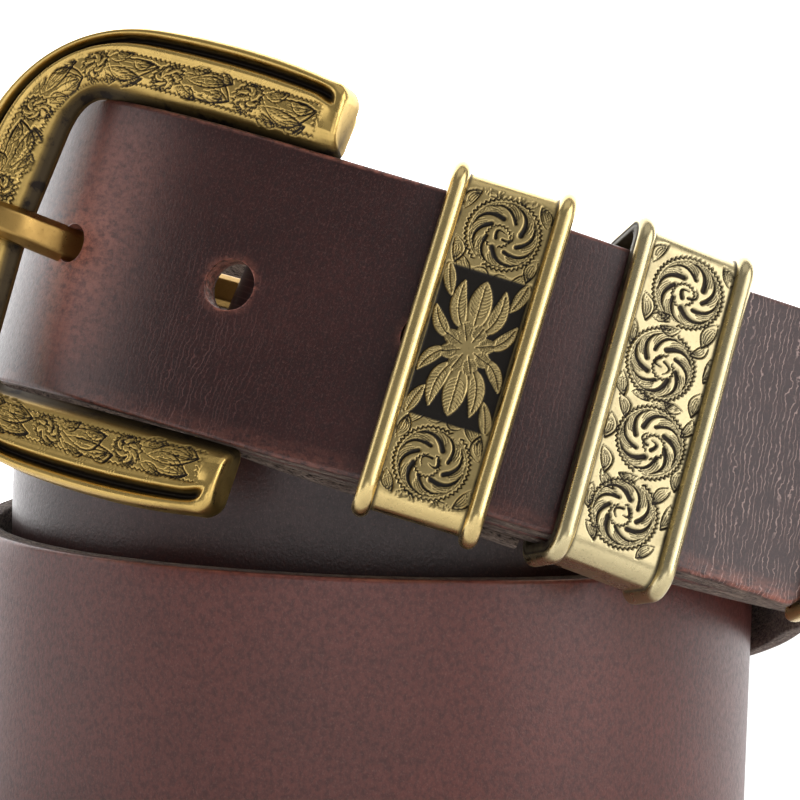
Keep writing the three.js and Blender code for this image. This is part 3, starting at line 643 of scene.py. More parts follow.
def scroll(x, y, radius, start, hand, leaves=9, shape=1.0):
    """Leaf cuts that sweep round a small curl, inside a zigzag ring that opens at its end."""
    eye = x + 0.1 * radius * hand, y - 0.08 * radius
    inner = ring_path(x, y, (radius * 0.9, radius * 0.84), start, hand * 330)
    strokes = [
        zigzag(ring_path(x, y, (radius, radius * 0.92), start, hand * 345)),
        (inner, np.full(len(inner), 0.06), 0.7),
        zigzag(ring_path(*eye, (radius * 0.36, radius * 0.25), start, hand * 320), 0.5, 0.13, 0.2),
    ]

    def cut(from_share, from_angle, to_share, to_angle, bow, width, depth=1.0):
        first = (x, y) + radius * from_share * heading(start + hand * from_angle)
        last = (x, y) + radius * to_share * heading(start + hand * to_angle)
        strokes.append(comma(first, last, bow * hand, width, depth))

    for k in range(leaves):
        turn = 360 * k / leaves + 14
        size = radius * (1 + 0.25 * np.sin(2.4 * k))
        cut(0.86, turn, 0.44, turn + 70, -0.26, 0.13 * size * shape)
        for away, reach, width, depth in (
            (10, 0.47, 0.045 * size, 1), (17, 0.52, 0.2, 0.8), (23, 0.58, 0.16, 0.7), (29, 0.66, 0.16, 0.6),
        ):
            cut(0.86, turn + away, reach, turn + 66, -0.23, width, depth)
    cut(0.06, 190, 0.22, 20, 0.6, 0.13 * radius)
    cut(0.25, 200, 0.12, 330, -0.5, 0.09 * radius)
    return strokes


def bloom_leaf(x, y, size, angle, bow, width):
    """A raised leaf with its vein and side cuts, as (raised strokes, cuts)."""
    direction = heading(angle)
    share = np.linspace(0, 1, 13)
    bowed = bow * (share**2)[:, None] * left_of(direction)
    path = np.array([x, y]) + size * (share[:, None] * direction + bowed)
    widths = width * np.sin(np.pi * (0.06 + 0.92 * share**0.85)) ** 0.8 + 0.05
    cuts = [(path[:-1], np.full(12, 0.09), 0.9)]
    ahead = unit(np.gradient(path, axis=0))
    for k in range(2, 11):
        for hand in (1, -1):
            out = ahead[k] * 0.7 + hand * left_of(ahead[k])
            cuts.append(hair(path[k], path[k] + out * widths[k] * 0.8, 0.12 * hand, 0.1, 0.6))
    return [(path, widths, 1.0)], cuts


def flower(x, y, radius, count, turn):
    """Raised petals about a bead, as (raised strokes, cuts)."""
    bead = np.array([(x - 0.01, y), (x + 0.01, y)])
    raised, cuts = [(bead, np.full(2, radius * 0.27), 1.0)], []
    for angle in turn + 360 * np.arange(count) / count:
        foot = (x, y) + heading(angle) * radius * 0.3
        more, marks = bloom_leaf(*foot, radius * 0.72, angle, 0.0, radius * 0.3)
        raised += more
        cuts += marks
    return raised, cuts


def leaf(x, y, size, angle, hand, width):
    """A pointed leaf: its outline as two cuts that meet, and hair cuts that follow it inside."""
    direction = heading(angle)
    start = np.array([x, y], float)
    tip = start + direction * size
    strokes = [
        comma(start, tip, 0.26 + 0.1 * hand, width), comma(start, tip, -0.2 + 0.1 * hand, width * 0.8),
    ]
    for away in (-0.16, -0.06, 0.05, 0.16):
        side = left_of(direction) * away * size
        foot = start + direction * size * 0.22 + side * 0.3
        end = start + direction * size * 0.84 + side * 0.25
        strokes.append(comma(foot, end, away + 0.1 * hand, 0.2, 0.75))
    return strokes


def leaves(rows, width):
    return [stroke for row in rows for stroke in leaf(*row, width)]


def with_half_turn(rows):
    """Rows (x, y, size, angle, ...) and the same rows turned half round the origin."""
    return [*rows, *((-x, -y, size, angle + 180, *rest) for x, y, size, angle, *rest in rows)]


def hatch(x, y):
    """Five short ticks side by side, each shorter than the last."""
    return [
        hair((x + 0.3 * k, y), (x + 0.3 * k, y + 0.6 * (1 - 0.12 * k)), 0.05, 0.14, 0.55) for k in range(5)
    ]


def stroke_share(x, y, points, half_widths):
    """How deep points of a grid lie in a stroke: 1 along its middle and 0 at its sides."""
    depth = np.zeros(x.shape)
    most = half_widths.max()
    low, high = points.min(axis=0) - most, points.max(axis=0) + most
    near = (x > low[0]) & (x < high[0]) & (y > low[1]) & (y < high[1])
    if not near.any():
        return depth
    spots = np.stack([x[near], y[near]], -1)
    best = np.full(len(spots), np.inf)
    for a, b, wide_a, wide_b in zip(points, points[1:], half_widths, half_widths[1:]):
        reach = b - a
        share = np.clip(((spots - a) @ reach) / max(reach @ reach, 1e-9), 0, 1)
        gap = np.linalg.norm(spots - a - share[:, None] * reach, axis=1)
        best = np.minimum(best, gap / (wide_a + (wide_b - wide_a) * share))
    depth[near] = np.clip(1 - best**2, 0, 1)
    return depth


def engrave(x, y, strokes, raised=(), ground=0.0):
    """Height and cavity of an engraved face. ground is how far its field is cut back, 0 to 1."""
    x, y = np.broadcast_arrays(x, y)
    sunk = np.zeros(x.shape) + ground
    for points, half_widths, share in raised:
        plateau = np.clip(1.9 * np.sqrt(stroke_share(x, y, points, half_widths)), 0, 1)
        sunk = np.minimum(sunk, 1 - share * plateau)
    depth = sunk
    for points, half_widths, share in strokes:
        depth = np.maximum(depth, share * stroke_share(x, y, points, half_widths))
    return -ENGRAVED_DEPTH * depth, smooth(0.15, 0.75, depth)


# Keepers

KEEPER_FRONT_HALF = 20.8
KEEPER_REAR_HALF = 19.9
KEEPER_CORNER = 1.5
KEEPER_HALF = 8.0
KEEPER_FRONT = HALF + CLEARANCE
KEEPER_REAR = -LAYER_PITCH - HALF - CLEARANCE
BEAD = 1.15
BEAD_LIFT, BEAD_RISE = 1.42, 1.28
PLATE_LIFT = 1.3
PLATE_HALF = KEEPER_HALF - 2 * BEAD
PLATE_STEP = 0.1
REAR_THINNING = 0.65
# Rows of x, y, size, angle and hand
KEEPER_1_LEAVES = (
    (-5.3, 16.9, 3.2, 62, 1), (5.3, 17.2, 3, 118, -1), (-5.3, 13.4, 3.4, -78, 1),
    (5.2, 13.2, 3.2, 258, -1), (-4.4, 11.4, 3.2, -50, -1), (4.5, 11.2, 3, 228, 1),
    (-3.6, 19.9, 2.6, 8, -1), (3.5, 19.9, 2.6, 172, 1), (-2.2, 9.9, 2.4, -20, 1), (2.4, 9.8, 2.4, 200, -1),
)
# Rows of x, y, size, angle, bow and width
KEEPER_1_BLOOM = (
    (0, 3, 5.6, 90, 0, 1.45), (-1.5, 2.6, 5, 128, -0.5, 1.05), (1.5, 2.6, 5, 52, 0.5, 1.05),
    (-2.8, 1, 3.6, 150, -0.45, 0.85), (2.8, 1, 3.6, 30, 0.45, 0.85),
    (-5, 9.6, 3.8, 282, 0.12, 0.75), (5, 9.6, 3.8, 258, -0.12, 0.75),
)
KEEPER_2_LEAVES = (
    (-5.2, 17.2, 3.2, 62, 1), (5.4, 17.6, 2.8, 118, -1), (-5.2, 13.2, 3.6, -72, 1), (-5.4, 9.4, 3.2, -84, -1),
    (-3.6, 10.6, 2.6, 20, -1), (5.2, 12.6, 3.8, 250, -1), (4.6, 9.6, 2.8, 228, 1), (5.4, 8, 3.2, 268, 1),
    (5.4, 3.4, 3.4, 262, -1), (-5.2, 2.6, 3.2, -72, -1), (-4.8, -0.4, 3, -60, 1), (-3.4, 0.4, 2.4, -8, 1),
    (3.6, 0.2, 2.6, 168, 1), (5.2, -0.2, 2.8, 250, 1), (5.4, -6.6, 3.2, 268, -1), (-5.3, -3, 3.4, -88, 1),
    (-5.2, -7.4, 3.4, -70, 1), (-4.6, -10.4, 2.8, -40, -1), (4.8, -9.6, 3.2, 236, -1),
    (5.2, -11.6, 3.4, 264, 1), (-5.2, -12.4, 3.2, -84, -1), (-4.8, -17.2, 2.6, -50, 1),
    (4.6, -17.4, 2.8, 228, -1), (0.6, 10, 2.6, 186, 1), (-0.6, 0.1, 2.6, 10, -1), (0.4, -9.8, 2.6, 186, 1),
)


def keeper_1_relief():
    """Two scrolls with leaves cut round them, and a flower with curled leaves on a cut-back ground."""
    raised, strokes = flower(0, 0, 3.3, 8, 22.5)
    for x, y, start in ((0.3, 15.0, 235), (-0.3, -15.0, 55)):
        strokes += scroll(x, y, 4.8, start, -1, leaves=8, shape=1.3)
    strokes += leaves(with_half_turn(KEEPER_1_LEAVES), 0.36)
    for row in with_half_turn(KEEPER_1_BLOOM):
        more, marks = bloom_leaf(*row)
        raised += more
        strokes += marks
    return strokes, raised


def keeper_2_relief():
    """Four scrolls that turn against each other, with leaves cut in the corners between them."""
    strokes = leaves(KEEPER_2_LEAVES, 0.36)
    for x, y, radius, start, hand in (
        (0.4, 15, 4.8, 250, -1), (-0.6, 5, 4.7, 90, 1), (0.6, -4.9, 4.7, 270, 1), (-0.4, -14.7, 4.6, 70, -1),
    ):
        strokes += scroll(x, y, radius, start, hand, leaves=8, shape=1.25)
    return strokes, ()


def keeper_section():
    """The wall's section: rows (along, lift), from one foot over both beads to the other foot."""
    side = [*((KEEPER_HALF, lift) for lift in (0, 0.6, 1.05)), (KEEPER_HALF - 0.14, 1.2)]
    bead = [
        (KEEPER_HALF - BEAD + BEAD * across, BEAD_LIFT + BEAD_RISE * up)
        for across, up in heading(np.linspace(0, 180, 19))
    ]
    half = [*side, *bead]
    other = [(-x, lift) for x, lift in half[::-1]]
    plate = [(x, PLATE_LIFT) for x in np.arange(-PLATE_HALF + 0.12, PLATE_HALF - 0.1, PLATE_STEP)[::-1]]
    inner = [(x, 0.0) for x in np.linspace(-KEEPER_HALF, KEEPER_HALF, 7)[1:-1]]
    return np.array([*half, *plate, *other, *inner])


def keeper_ring(slack):
    """Stations round the loop: rows (y, z, angle), fine along the front and coarse elsewhere."""
    rows = []
    for corner in range(4):
        is_front = corner < 2
        steps = 24 if is_front else 8
        reach = (KEEPER_FRONT_HALF if is_front else KEEPER_REAR_HALF) - KEEPER_CORNER
        y = reach if corner in (0, 3) else -reach
        z = KEEPER_FRONT - KEEPER_CORNER if is_front else KEEPER_REAR - slack + KEEPER_CORNER
        rows += [(y, z, np.pi / 2 * (corner + k / steps)) for k in range(steps + 1)]
        if corner in (0, 2):
            count = int(2 * reach / PLATE_STEP) if is_front else 12
            rows += [(y - 2 * y * k / count, z, np.pi / 2 * (corner + 1)) for k in range(1, count)]
    return np.array(rows)


def keeper_piece(name, turn, tilt, rise, slack, relief, field, patina_and_shade, material):
    """field is how far from the plate's middle its ground is cut back round the raised leaves. The plate's
    front is darkened all over by a set share: partly patina, partly painted shade, heavier on the first
    keeper than on the second.
    """
    along, lift = keeper_section().T
    y, z, angle = keeper_ring(slack).T[..., None]
    out_y, out_z = np.cos(angle), np.sin(angle)
    share = 0.9 + (np.where(out_z > 0, 1.0, REAR_THINNING) - 0.9) * np.abs(out_z)
    from_middle = np.abs(along)
    plate_y = y + out_y * (KEEPER_CORNER + lift * share)
    ground = 0.95 * smooth(PLATE_HALF - 0.1, PLATE_HALF - 0.4, from_middle)
    ground = ground * smooth(field, field - 0.8, np.abs(plate_y))
    height, cavity = engrave(along, plate_y, *relief, ground)
    on_plate = (from_middle < PLATE_HALF) & (lift == PLATE_LIFT)
    front = smooth(0.9, 1.0, out_z) * on_plate
    lift = lift + height * front
    # Patina over the whole front plate, with painted shade: the share differs per keeper to paint one darker
    # and one lighter.
    cavity = (patina_and_shade + (1 - patina_and_shade) * cavity) * front
    # Painted shade: a dark strip where the plate meets each bead, and a dark line in the notch between each
    # bead and the wall's outer side.
    foot = smooth(PLATE_HALF - 0.55, PLATE_HALF - 0.05, from_middle) * (lift <= 1.6)
    groove = (np.abs(from_middle - KEEPER_HALF + 0.14) < 0.01) & (lift > 0.9) & (lift < 1.3)
    cavity = np.maximum.reduce([cavity, foot * 0.9, groove * 1.0, (lift <= 0.01) * 0.5])
    out = KEEPER_CORNER + lift * share
    points = grid_points(along, y + out_y * out, z + out_z * out)
    place = places_at(turn)[0] @ shift(0, rise, 0) @ turned("Z", tilt)
    build(
        name + "_brass", [name], "engraved_brass", material, put(place, points),
        grid_faces(*lift.shape, close_rows=True, close_columns=True), cavity=cavity.ravel(), local=points,
    )


# Buckle frame

FRAME_END = 5.9
FRAME_BACK = 4.65
END_ROUNDING = 0.7
ARM_STEP = 0.14
# Bezier curves of the upper half, from the arm's free end to the middle, and how finely each is drawn
OUTER_CURVES = (
    [(FRAME_END, 27.9), (FRAME_END - 1, 27.95), (FRAME_END - 2, 28)],
    [(FRAME_END - 2, 28), (-7, 30.2), (-22, 29.2)],
    [(-22, 29.2), (-33.4, 28.4), (-41.8, 21), (-42.9, 9)],
    [(-42.9, 9), (-43.4, 0)],
)
INNER_CURVES = (
    [(FRAME_END, 19.8), (FRAME_END - 2, 19.8)],
    [(FRAME_END - 2, 19.8), (-27, 20.4)],
    [(-27, 20.4), (-33, 20.4), (-33.4, 12)],
    [(-33.4, 12), (-34.2, 0)],
)
CURVE_POINTS = (16, 190, 240, 80)
# Heights over the back by the share of the way from the inner line to the outer one
SECTION_GROOVED = np.array([
    (-0.12, 1.2), (-0.05, 2), (0, 2.5), (0.03, 3), (0.08, 3.45), (0.16, 3.95), (0.24, 4.3),
    (0.32, 4.4), (0.45, 4.4), (0.55, 4.42), (0.6, 4.6), (0.64, 4.85), (0.68, 4.85), (0.71, 4.5),
    (0.74, 3.5), (0.77, 2.9), (0.8, 2.9), (0.83, 3.5), (0.86, 4.2), (0.9, 4.55), (0.94, 4.5),
    (0.97, 4.2), (1, 3.5),
])
SECTION_PLAIN = np.array([
    (-0.12, 1.2), (-0.05, 2), (0, 2.5), (0.05, 3.2), (0.12, 3.8), (0.24, 4.35), (0.4, 4.6),
    (0.6, 4.75), (0.75, 4.7), (0.86, 4.55), (0.94, 4.3), (0.98, 4), (1, 3.5),
])
BACK_SECTION = np.array([(1.0, 0.5), (0.97, 0.0), (0.7, 0.0), (0.4, 0.0), (0.0, 0.0), (-0.12, 0.4)])
# Rows of distance from a scroll's middle along the arm and across it, size, angle and width
ARM_LEAVES = (
    (2.1, 0.35, 7.4, 5, 0.42), (2.2, -0.5, 6.2, -7, 0.42), (1.9, 1.1, 3.2, 18, 0.36),
    (1.9, -1.2, 3, -20, 0.36), (5.6, 1.3, 3.6, -4, 0.34), (5.2, -1.6, 3.4, 6, 0.34),
)


def bezier(points, count):
    share = np.linspace(0, 1, count)[:, None]
    points = [np.array(point, float) for point in points]
    while len(points) > 1:
        points = [a * (1 - share) + b * share for a, b in zip(points, points[1:])]
    return points[0]


def arm_line(curves):
    """The line from the upper arm's free end to the lower arm's, with its corners eased."""
    parts = [bezier(curve, count) for curve, count in zip(curves, CURVE_POINTS)]
    half = np.concatenate([parts[0], *(part[1:] for part in parts[1:])])
    line = np.concatenate([half, half[-2::-1] * (1, -1)])
    for _ in range(2):
        for i in (0, 1):
            padded = np.pad(line[:, i], 15, mode="reflect", reflect_type="odd")
            line[:, i] = np.convolve(padded, np.ones(31) / 31, "valid")
    return line


def quarter_drop(gap, radius):
    """How far a quarter round of that radius falls away, at a gap from the edge that it rounds."""
    return radius * (1 - np.sqrt(np.clip(1 - (1 - np.clip(gap / radius, 0, 1)) ** 2, 0, 1)))


def arm_lines():
    """Inner and outer lines at even steps along the arm, and the length along it at each step."""
    inner, outer = arm_line(INNER_CURVES), arm_line(OUTER_CURVES)
    lengths = run_lengths((inner + outer) / 2)
    total = lengths[-1]
    near_end = END_ROUNDING * (1 - np.cos(np.linspace(0, np.pi / 2, 9)))
    count = int((total - 2 * near_end[-1]) / ARM_STEP)
    between = np.linspace(near_end[-1], total - near_end[-1], count)[1:-1]
    at = np.concatenate([near_end, between, total - near_end[::-1]])
    inner, outer = (points_along(at, lengths, line) for line in (inner, outer))
    gap = np.minimum(at, total - at)
    outer[:, 1] -= np.sign(outer[:, 1]) * quarter_drop(gap, 2.0)
    inner[:, 1] += np.sign(inner[:, 1]) * quarter_drop(gap, 0.5)
    return inner, outer, at


def arm_strokes(total):
    """Engraving of the arm: x is the length along it and y the distance from the field's middle."""
    strokes = []
    middle = total / 2
    for sign in (1, -1):
        for y in (2.0, -2.0):
            strokes.append(zigzag([(middle, y), (middle + sign * 67, y)], pitch=0.7, width=0.2, depth=0.9))
        for k, gap in enumerate((4, 15.5, 27, 38.5, 50, 61.5)):
            hand = sign if k % 2 else -sign
            x = middle + sign * gap
            strokes += scroll(x, 0.1 * hand, 1.95, 200 * (k % 2), hand, leaves=6, shape=1.15)
            for away, y, size, angle, width in ARM_LEAVES:
                aim = 90 * (1 - sign) + sign * hand * angle
                strokes += leaf(x + sign * away, hand * y, size, aim, hand, width)
            strokes += hatch(x + sign * 3.4, 1.25 * hand) + hatch(x + sign * 6.4, -1.9 * hand)
    return strokes


def bevel_ticks(total):
    """Threes of ticks along the bevel beside the engraved field."""
    strokes = []
    for k, at in enumerate(np.arange(6, total - 6, 5.2)):
        for x in at + 0.5 * (k % 2) + 0.42 * np.arange(3):
            strokes.append(hair((x, 0.5), (x + 0.55, -0.35), 0.0, 0.12, 0.5))
    return strokes


def arm_part():
    """The engraved arm: its points, faces and cavity."""
    inner, outer, at = arm_lines()
    across = outer - inner
    total = at[-1]
    shares = np.concatenate([
        (-0.12, -0.08, -0.04), np.linspace(0, 0.1, 6)[:-1], np.linspace(0.1, 0.58, 38)[:-1],
        np.linspace(0.58, 1.0, 36),
    ])
    end_gap = np.minimum(at, total - at)[:, None]
    grooved = smooth(1.0, 3.0, end_gap)
    bend = 0.14 * np.clip(1 - end_gap / 5, 0, 1) ** 2 * smooth(0.45, 0.7, shares)
    bent_shares = shares + bend * (1 - shares) / 0.22
    plain = np.interp(shares, *SECTION_PLAIN.T)
    height = plain + (np.interp(bent_shares, *SECTION_GROOVED.T) - plain) * grooved

    width = np.linalg.norm(across, axis=1)[:, None]
    marks, cavity = engrave(at[:, None], (shares - 0.34) * width, arm_strokes(total))
    ticks, tick_cavity = engrave(at[:, None], (shares - 0.65) * width, bevel_ticks(total))
    field = window(shares, 0.03, 0.07, 0.58, 0.6) * smooth(2.2, 3.5, end_gap)
    on_bevel = window(shares, 0.58, 0.61, 0.69, 0.71)
    height = height + marks * field + ticks * on_bevel * 0.7 - quarter_drop(end_gap, END_ROUNDING)
    groove = window(bent_shares, 0.7, 0.75, 0.82, 0.86) * grooved
    # Painted shade: the arm's inner slope is darkened where it faces down towards the leather.
    slope = 0.35 * smooth(0.2, 0.02, shares) + 0.6 * smooth(0.06, -0.02, shares)
    cavity = np.maximum.reduce([cavity * field, tick_cavity * on_bevel * 0.8, groove])
    cavity = np.maximum(cavity, slope)

    back_shares, back_height = BACK_SECTION.T
    all_shares = np.concatenate([shares, back_shares])
    height = np.concatenate([height, np.tile(back_height, (len(at), 1))], 1)
    spots = inner[:, None] + across[:, None] * all_shares[:, None]
    local = np.concatenate([spots, (FRAME_BACK + height)[..., None]], -1)
    cavity = np.concatenate([cavity, np.full((len(at), len(back_shares)), 0.45)], 1)
    return local.reshape(-1, 3), tube_faces(len(at), len(all_shares), flip=True), cavity.ravel()


LUG_RADIUS = 1.5
LUG_HALF = 2.9
LUG_SPREAD = 22.8


def lug(side):
    """The lug that carries one end of the bar: round under it and squared towards the arm."""
    foot = -LUG_RADIUS * np.cos(np.linspace(0.12, np.pi / 2, 8))
    level = np.concatenate([foot, np.linspace(0.3, FRAME_BACK + 1, 8)])[:, None]
    across, along_bar = heading(np.linspace(0, 360, 41)[:-1]).T
    round_half = LUG_RADIUS * np.sqrt(np.maximum(0.02, 1 - (np.minimum(level, 0) / LUG_RADIUS) ** 2))
    right = round_half - 0.1 * smooth(0, 1, level)
    left = -round_half - 1.1 * smooth(0, 2.5, level)
    x = (left + right) / 2 + signed_power(across, 0.4) * (right - left) / 2
    y = side * LUG_SPREAD + signed_power(along_bar, 0.3) * LUG_HALF
    return grid_points(x, y, level), tube_faces(*x.shape)


def frame_piece(material):
    """The horseshoe with the two lugs and the bar between them, as one casting."""
    arm, arm_faces, arm_cavity = arm_part()
    lugs = joined([lug(1), lug(-1)])
    rod, rod_faces = lathe([(BAR_RADIUS, -BAR_HALF), (BAR_RADIUS, BAR_HALF)], 32)
    rod = put(BAR_PLACE @ turned("X", 90), rod)
    points, faces = joined([
        (put(FRAME_PLACE, arm), arm_faces), (put(BAR_PLACE, lugs[0]), lugs[1]), (rod, rod_faces),
    ])
    build(
        "buckle_frame_brass", ["buckle_frame"], "engraved_brass", material, points, faces,
        cavity=np.concatenate([arm_cavity, np.full(len(lugs[0]), 0.2), np.full(len(rod), 0.3)]),
        local=np.concatenate([arm, lugs[0], rod]),
    )


# Prong

# Rows of x, height over the bar, width and thickness
PRONG_LINE = np.array([
    (-2.4, -0.6, 4, 2.2), (-7, -0.6, 4.1, 2.2), (-14, -0.9, 4.3, 2.2), (-21.5, -1.1, 4.5, 2.2),
    (-26.6, 0.4, 4.7, 2.3), (-30.4, 4.9, 4.7, 2.5), (-33.5, 9.1, 4.5, 2.6), (-37.5, 11.3, 4, 2.6),
    (-42, 11.4, 3.4, 2.4), (-46, 10.5, 2.6, 2),
])
# Shares of the half width and half thickness: a flat face, two chamfers and a rounded back
PRONG_SECTION = np.array([
    (0, 1), (0.56, 0.99), (0.64, 0.93), (0.93, 0.28), (0.985, 0.12), (1, -0.05), (1, -0.4),
    (0.93, -0.72), (0.72, -0.95), (0.4, -1),
])
EYE_BORE = BAR_RADIUS + CLEARANCE
EYE_RADIUS = EYE_BORE + 1.3
EYE_HALF = 2.2
EYE_CHAMFER = 0.3
PRONG_CAVITY = 0.05


def catmull(rows, count):
    padded = np.concatenate([[2 * rows[0] - rows[1]], rows, [2 * rows[-1] - rows[-2]]])
    at = np.linspace(0, len(rows) - 1, count)
    i = np.minimum(at.astype(int), len(rows) - 2)
    t = (at - i)[:, None]
    a, b, c, d = (padded[i + k] for k in range(4))
    return 0.5 * (2 * b + (c - a) * t + (2 * a - 5 * b + 4 * c - d) * t**2 + (3 * b - a - 3 * c + d) * t**3)


def densify(loop, spacing):
    """A closed loop with no side longer than the spacing."""
    points = []
    for a, b in zip(loop, np.roll(loop, -1, axis=0)):
        count = max(1, int(np.ceil(np.linalg.norm(b - a) / spacing)))
        points += [a + (b - a) * k / count for k in range(count)]
    return np.array(points)


def prong_piece(material):
    x, z, width, thickness = catmull(PRONG_LINE, 150).T[..., None]
    ahead = unit(np.gradient(np.hstack([x, z]), axis=0))
    out_x, out_z = ahead[:, 1:], -ahead[:, :1]
    section = densify(np.concatenate([PRONG_SECTION, [(0.0, -1.0)], PRONG_SECTION[:0:-1] * (-1, 1)]), 0.12)
    end = np.linspace(0, 1, len(x))[:, None]
    rounding = np.sqrt(1 - np.clip((end - 0.97) / 0.03, 0, 0.98) ** 2)
    wide = width / 2 * rounding * section[:, 0]
    tall = thickness / 2 * rounding * section[:, 1]
    tongue = grid_points(x + out_x * tall, wide, z + out_z * tall)
    low = [(EYE_BORE, EYE_HALF), (EYE_RADIUS - EYE_CHAMFER, EYE_HALF), (EYE_RADIUS, EYE_HALF - EYE_CHAMFER)]
    profile = [(radius, -level) for radius, level in low] + low[::-1]
    eye, eye_faces = lathe(profile, 48, close_profile=True)
    local, faces = joined([
        (tongue, tube_faces(len(x), len(section), flip=True)), (put(turned("X", 90), eye), eye_faces),
    ])
    build(
        "prong_brass", ["prong"], "polished_brass", material, put(BUCKLE_PLACE, local), faces,
        cavity=np.full(len(local), PRONG_CAVITY), local=local,
    )


# Tip

RAIL_START, RAIL_END = -0.3, 1.9
RAIL_MIDDLE, RAIL_REACH, RAIL_BULGE = 0.8, 1.1, 0.5
TIP_ROUNDING = 0.7
TIP_STEP = 0.15
MOUTH_DEPTH = 12
BORDER_RADIUS = 16.2
# Rows of x, y, size, angle and hand
TIP_LEAVES = (
    (14, 10.6, 6, -34, 1), (13.4, 6.6, 4.2, -24, -1), (25.8, 3.4, 4.6, -20, 1), (2.8, 1.3, 6, 8, 1),
    (3, 14.8, 3.6, -12, 1), (3, 3.8, 3, 40, -1), (20.6, 6.6, 5, -14, 1), (15, 13.6, 5, -26, -1),
)


def tip_outline(half_width, half_height):
    """Rounded rectangle across the strap, as rows (across, height)."""
    rounding = min(TIP_ROUNDING, half_width * 0.9, half_height / 1.1)
    flat = half_width - rounding
    rows = []
    for corner, (sign_x, sign_z) in enumerate(((1, 1), (-1, 1), (-1, -1), (1, -1))):
        for right, up in heading(np.linspace(0, 90, 6) + 90 * corner):
            rows.append((sign_x * flat + rounding * right, sign_z * (half_height - rounding) + rounding * up))
        if corner in (0, 2):
            count = 230 if corner == 0 else 42
            across = np.linspace(sign_x * flat, -sign_x * flat, count)[1:-1]
            rows += [(x, sign_z * half_height) for x in across]
    return np.array(rows)


def tip_strokes():
    """Three scrolls with leaves between them, inside a zigzag border that follows the round end."""
    strokes = scroll(8.6, 8.8, 5.0, 200, 1) + scroll(8.6, -8.8, 5.0, 160, -1) + scroll(20.4, 0, 5.4, 180, 1)
    arc = ring_path(TONGUE_LENGTH - TIP_START, 0, (BORDER_RADIUS, BORDER_RADIUS), 90, -180)
    strokes.append(zigzag([(3.2, BORDER_RADIUS), *arc, (3.2, -BORDER_RADIUS)]))
    mirrored = [(x, -y, size, -angle, -hand) for x, y, size, angle, hand in TIP_LEAVES]
    return strokes + leaves([*TIP_LEAVES, *mirrored, (26.6, 0, 3.8, 0, 1)], 0.42)


def tip_piece(material):
    """The sleeve: its bore, its mouth's rail, and an engraved front that follows the strap's end."""
    bore = tip_outline(TIP_RADIUS + CLEARANCE, HALF + CLEARANCE)
    rings = [(MOUTH_DEPTH, bore), (RAIL_START, bore)]
    for offset in (RAIL_START, -0.15, 0.2, 0.8, 1.4, 1.75, RAIL_END):
        bulge = RAIL_BULGE * np.sqrt(max(0, 1 - ((offset - RAIL_MIDDLE) / RAIL_REACH) ** 2))
        grow = TIP_GROW + bulge
        rings.append((offset, tip_outline(TIP_RADIUS + grow, HALF + grow)))
    radius = TIP_RADIUS + TIP_GROW
    for length in np.arange(TIP_START + RAIL_END + TIP_STEP, TONGUE_LENGTH, TIP_STEP):
        rings.append((length - TIP_START, tip_outline(radius, HALF + TIP_GROW)))
    for right, up in heading(np.linspace(0, 86, 140)):
        offset = TONGUE_LENGTH - TIP_START + radius * up
        rings.append((offset, tip_outline(radius * right, HALF + TIP_GROW)))
    spots = np.array([np.column_stack([np.full(len(ring), offset), ring]) for offset, ring in rings])
    height, cavity = engrave(spots[..., 0], spots[..., 1], tip_strokes())
    on_front = (spots[..., 2] >= HALF + TIP_GROW - 0.01) & (spots[..., 0] > RAIL_END + 0.2)
    spots[..., 2] += np.where(on_front, height, 0)
    points = []
    for ring in spots:
        length = TIP_START + ring[0, 0]
        place = place_of(min(length, TOTAL)) @ shift(max(0, length - TOTAL), 0, 0)
        points.append(put(place, ring * (0, 1, 1)))
    build(
        "belt_tip_brass", ["belt_tip"], "engraved_brass", material, np.concatenate(points),
        tube_faces(*spots.shape[:2]), cavity=np.where(on_front, cavity, 0.05).ravel(),
        local=spots.reshape(-1, 3),
    )


# Studs

STUD_LENGTHS = (13.6, 37.9)


def stud_piece(name, length, material):
    head_top = 2 * BAR_DEPTH - HALF - CLEARANCE
    foot = HALF - CLEARANCE / 2
    profile = [
        (0.5, head_top - 1), (1.6, head_top - 0.92), (2.2, head_top - 0.7), (2.4, head_top - 0.35),
        (2.4, head_top - 0.1), (2.25, head_top), (2, head_top), (2, foot - 0.2), (1.8, foot),
    ]
    local, faces = lathe(profile, 40)
    build(name + "_steel", [name], "stud_steel", material, put(place_of(length), local), faces, local=local)


# Pieces

leather = leather_material()
golden = brass_material("frame_brass", colour(218, 184, 110), colour(30, 20, 9), 0.24)
warm = brass_material("engraved_brass", colour(226, 200, 138), colour(20, 14, 7), 0.22)
# A paler, creamier copy of the engraved brass for the second keeper, as a painted reflection of the softbox
# it catches.
softbox_lit_brass = brass_material("engraved_brass_softbox_lit", colour(212, 196, 152), colour(34, 25, 15), 0.24)
polished = brass_material("polished_brass", colour(166, 133, 76), colour(52, 38, 16), 0.25)
steel = steel_material()

strap_piece(leather)
# The first keeper's heavier patina is partly painted shade, the second's lighter one partly painted light.
keeper_piece(
    "keeper_1", turn=1094, tilt=0, rise=0, slack=1.05, relief=keeper_1_relief(), field=10.2, patina_and_shade=0.36,
    material=warm,
)
keeper_piece(
    "keeper_2", turn=1116.3, tilt=-4, rise=0.3, slack=2, relief=keeper_2_relief(), field=0, patina_and_shade=0.12,
    material=softbox_lit_brass,
)
frame_piece(golden)
prong_piece(polished)
tip_piece(warm)
for number, stud_length in enumerate(STUD_LENGTHS, 1):
    stud_piece(f"fold_stud_{number}", stud_length, steel)

# Floor, light and camera, in metres

STAGE_HALF = 2.8
STAGE_FRONT, STAGE_BEND, STAGE_TOP = -3.0, 1.2, 3.5
BEND_RADIUS = 0.6
WALL_START = 0.5
STAGE_SHADE = 0.8
FLOOR_GLOW, WALL_GLOW = 0.25, 2.2
LIGHT_AIM = np.array([0.0, -0.02, 0.06])
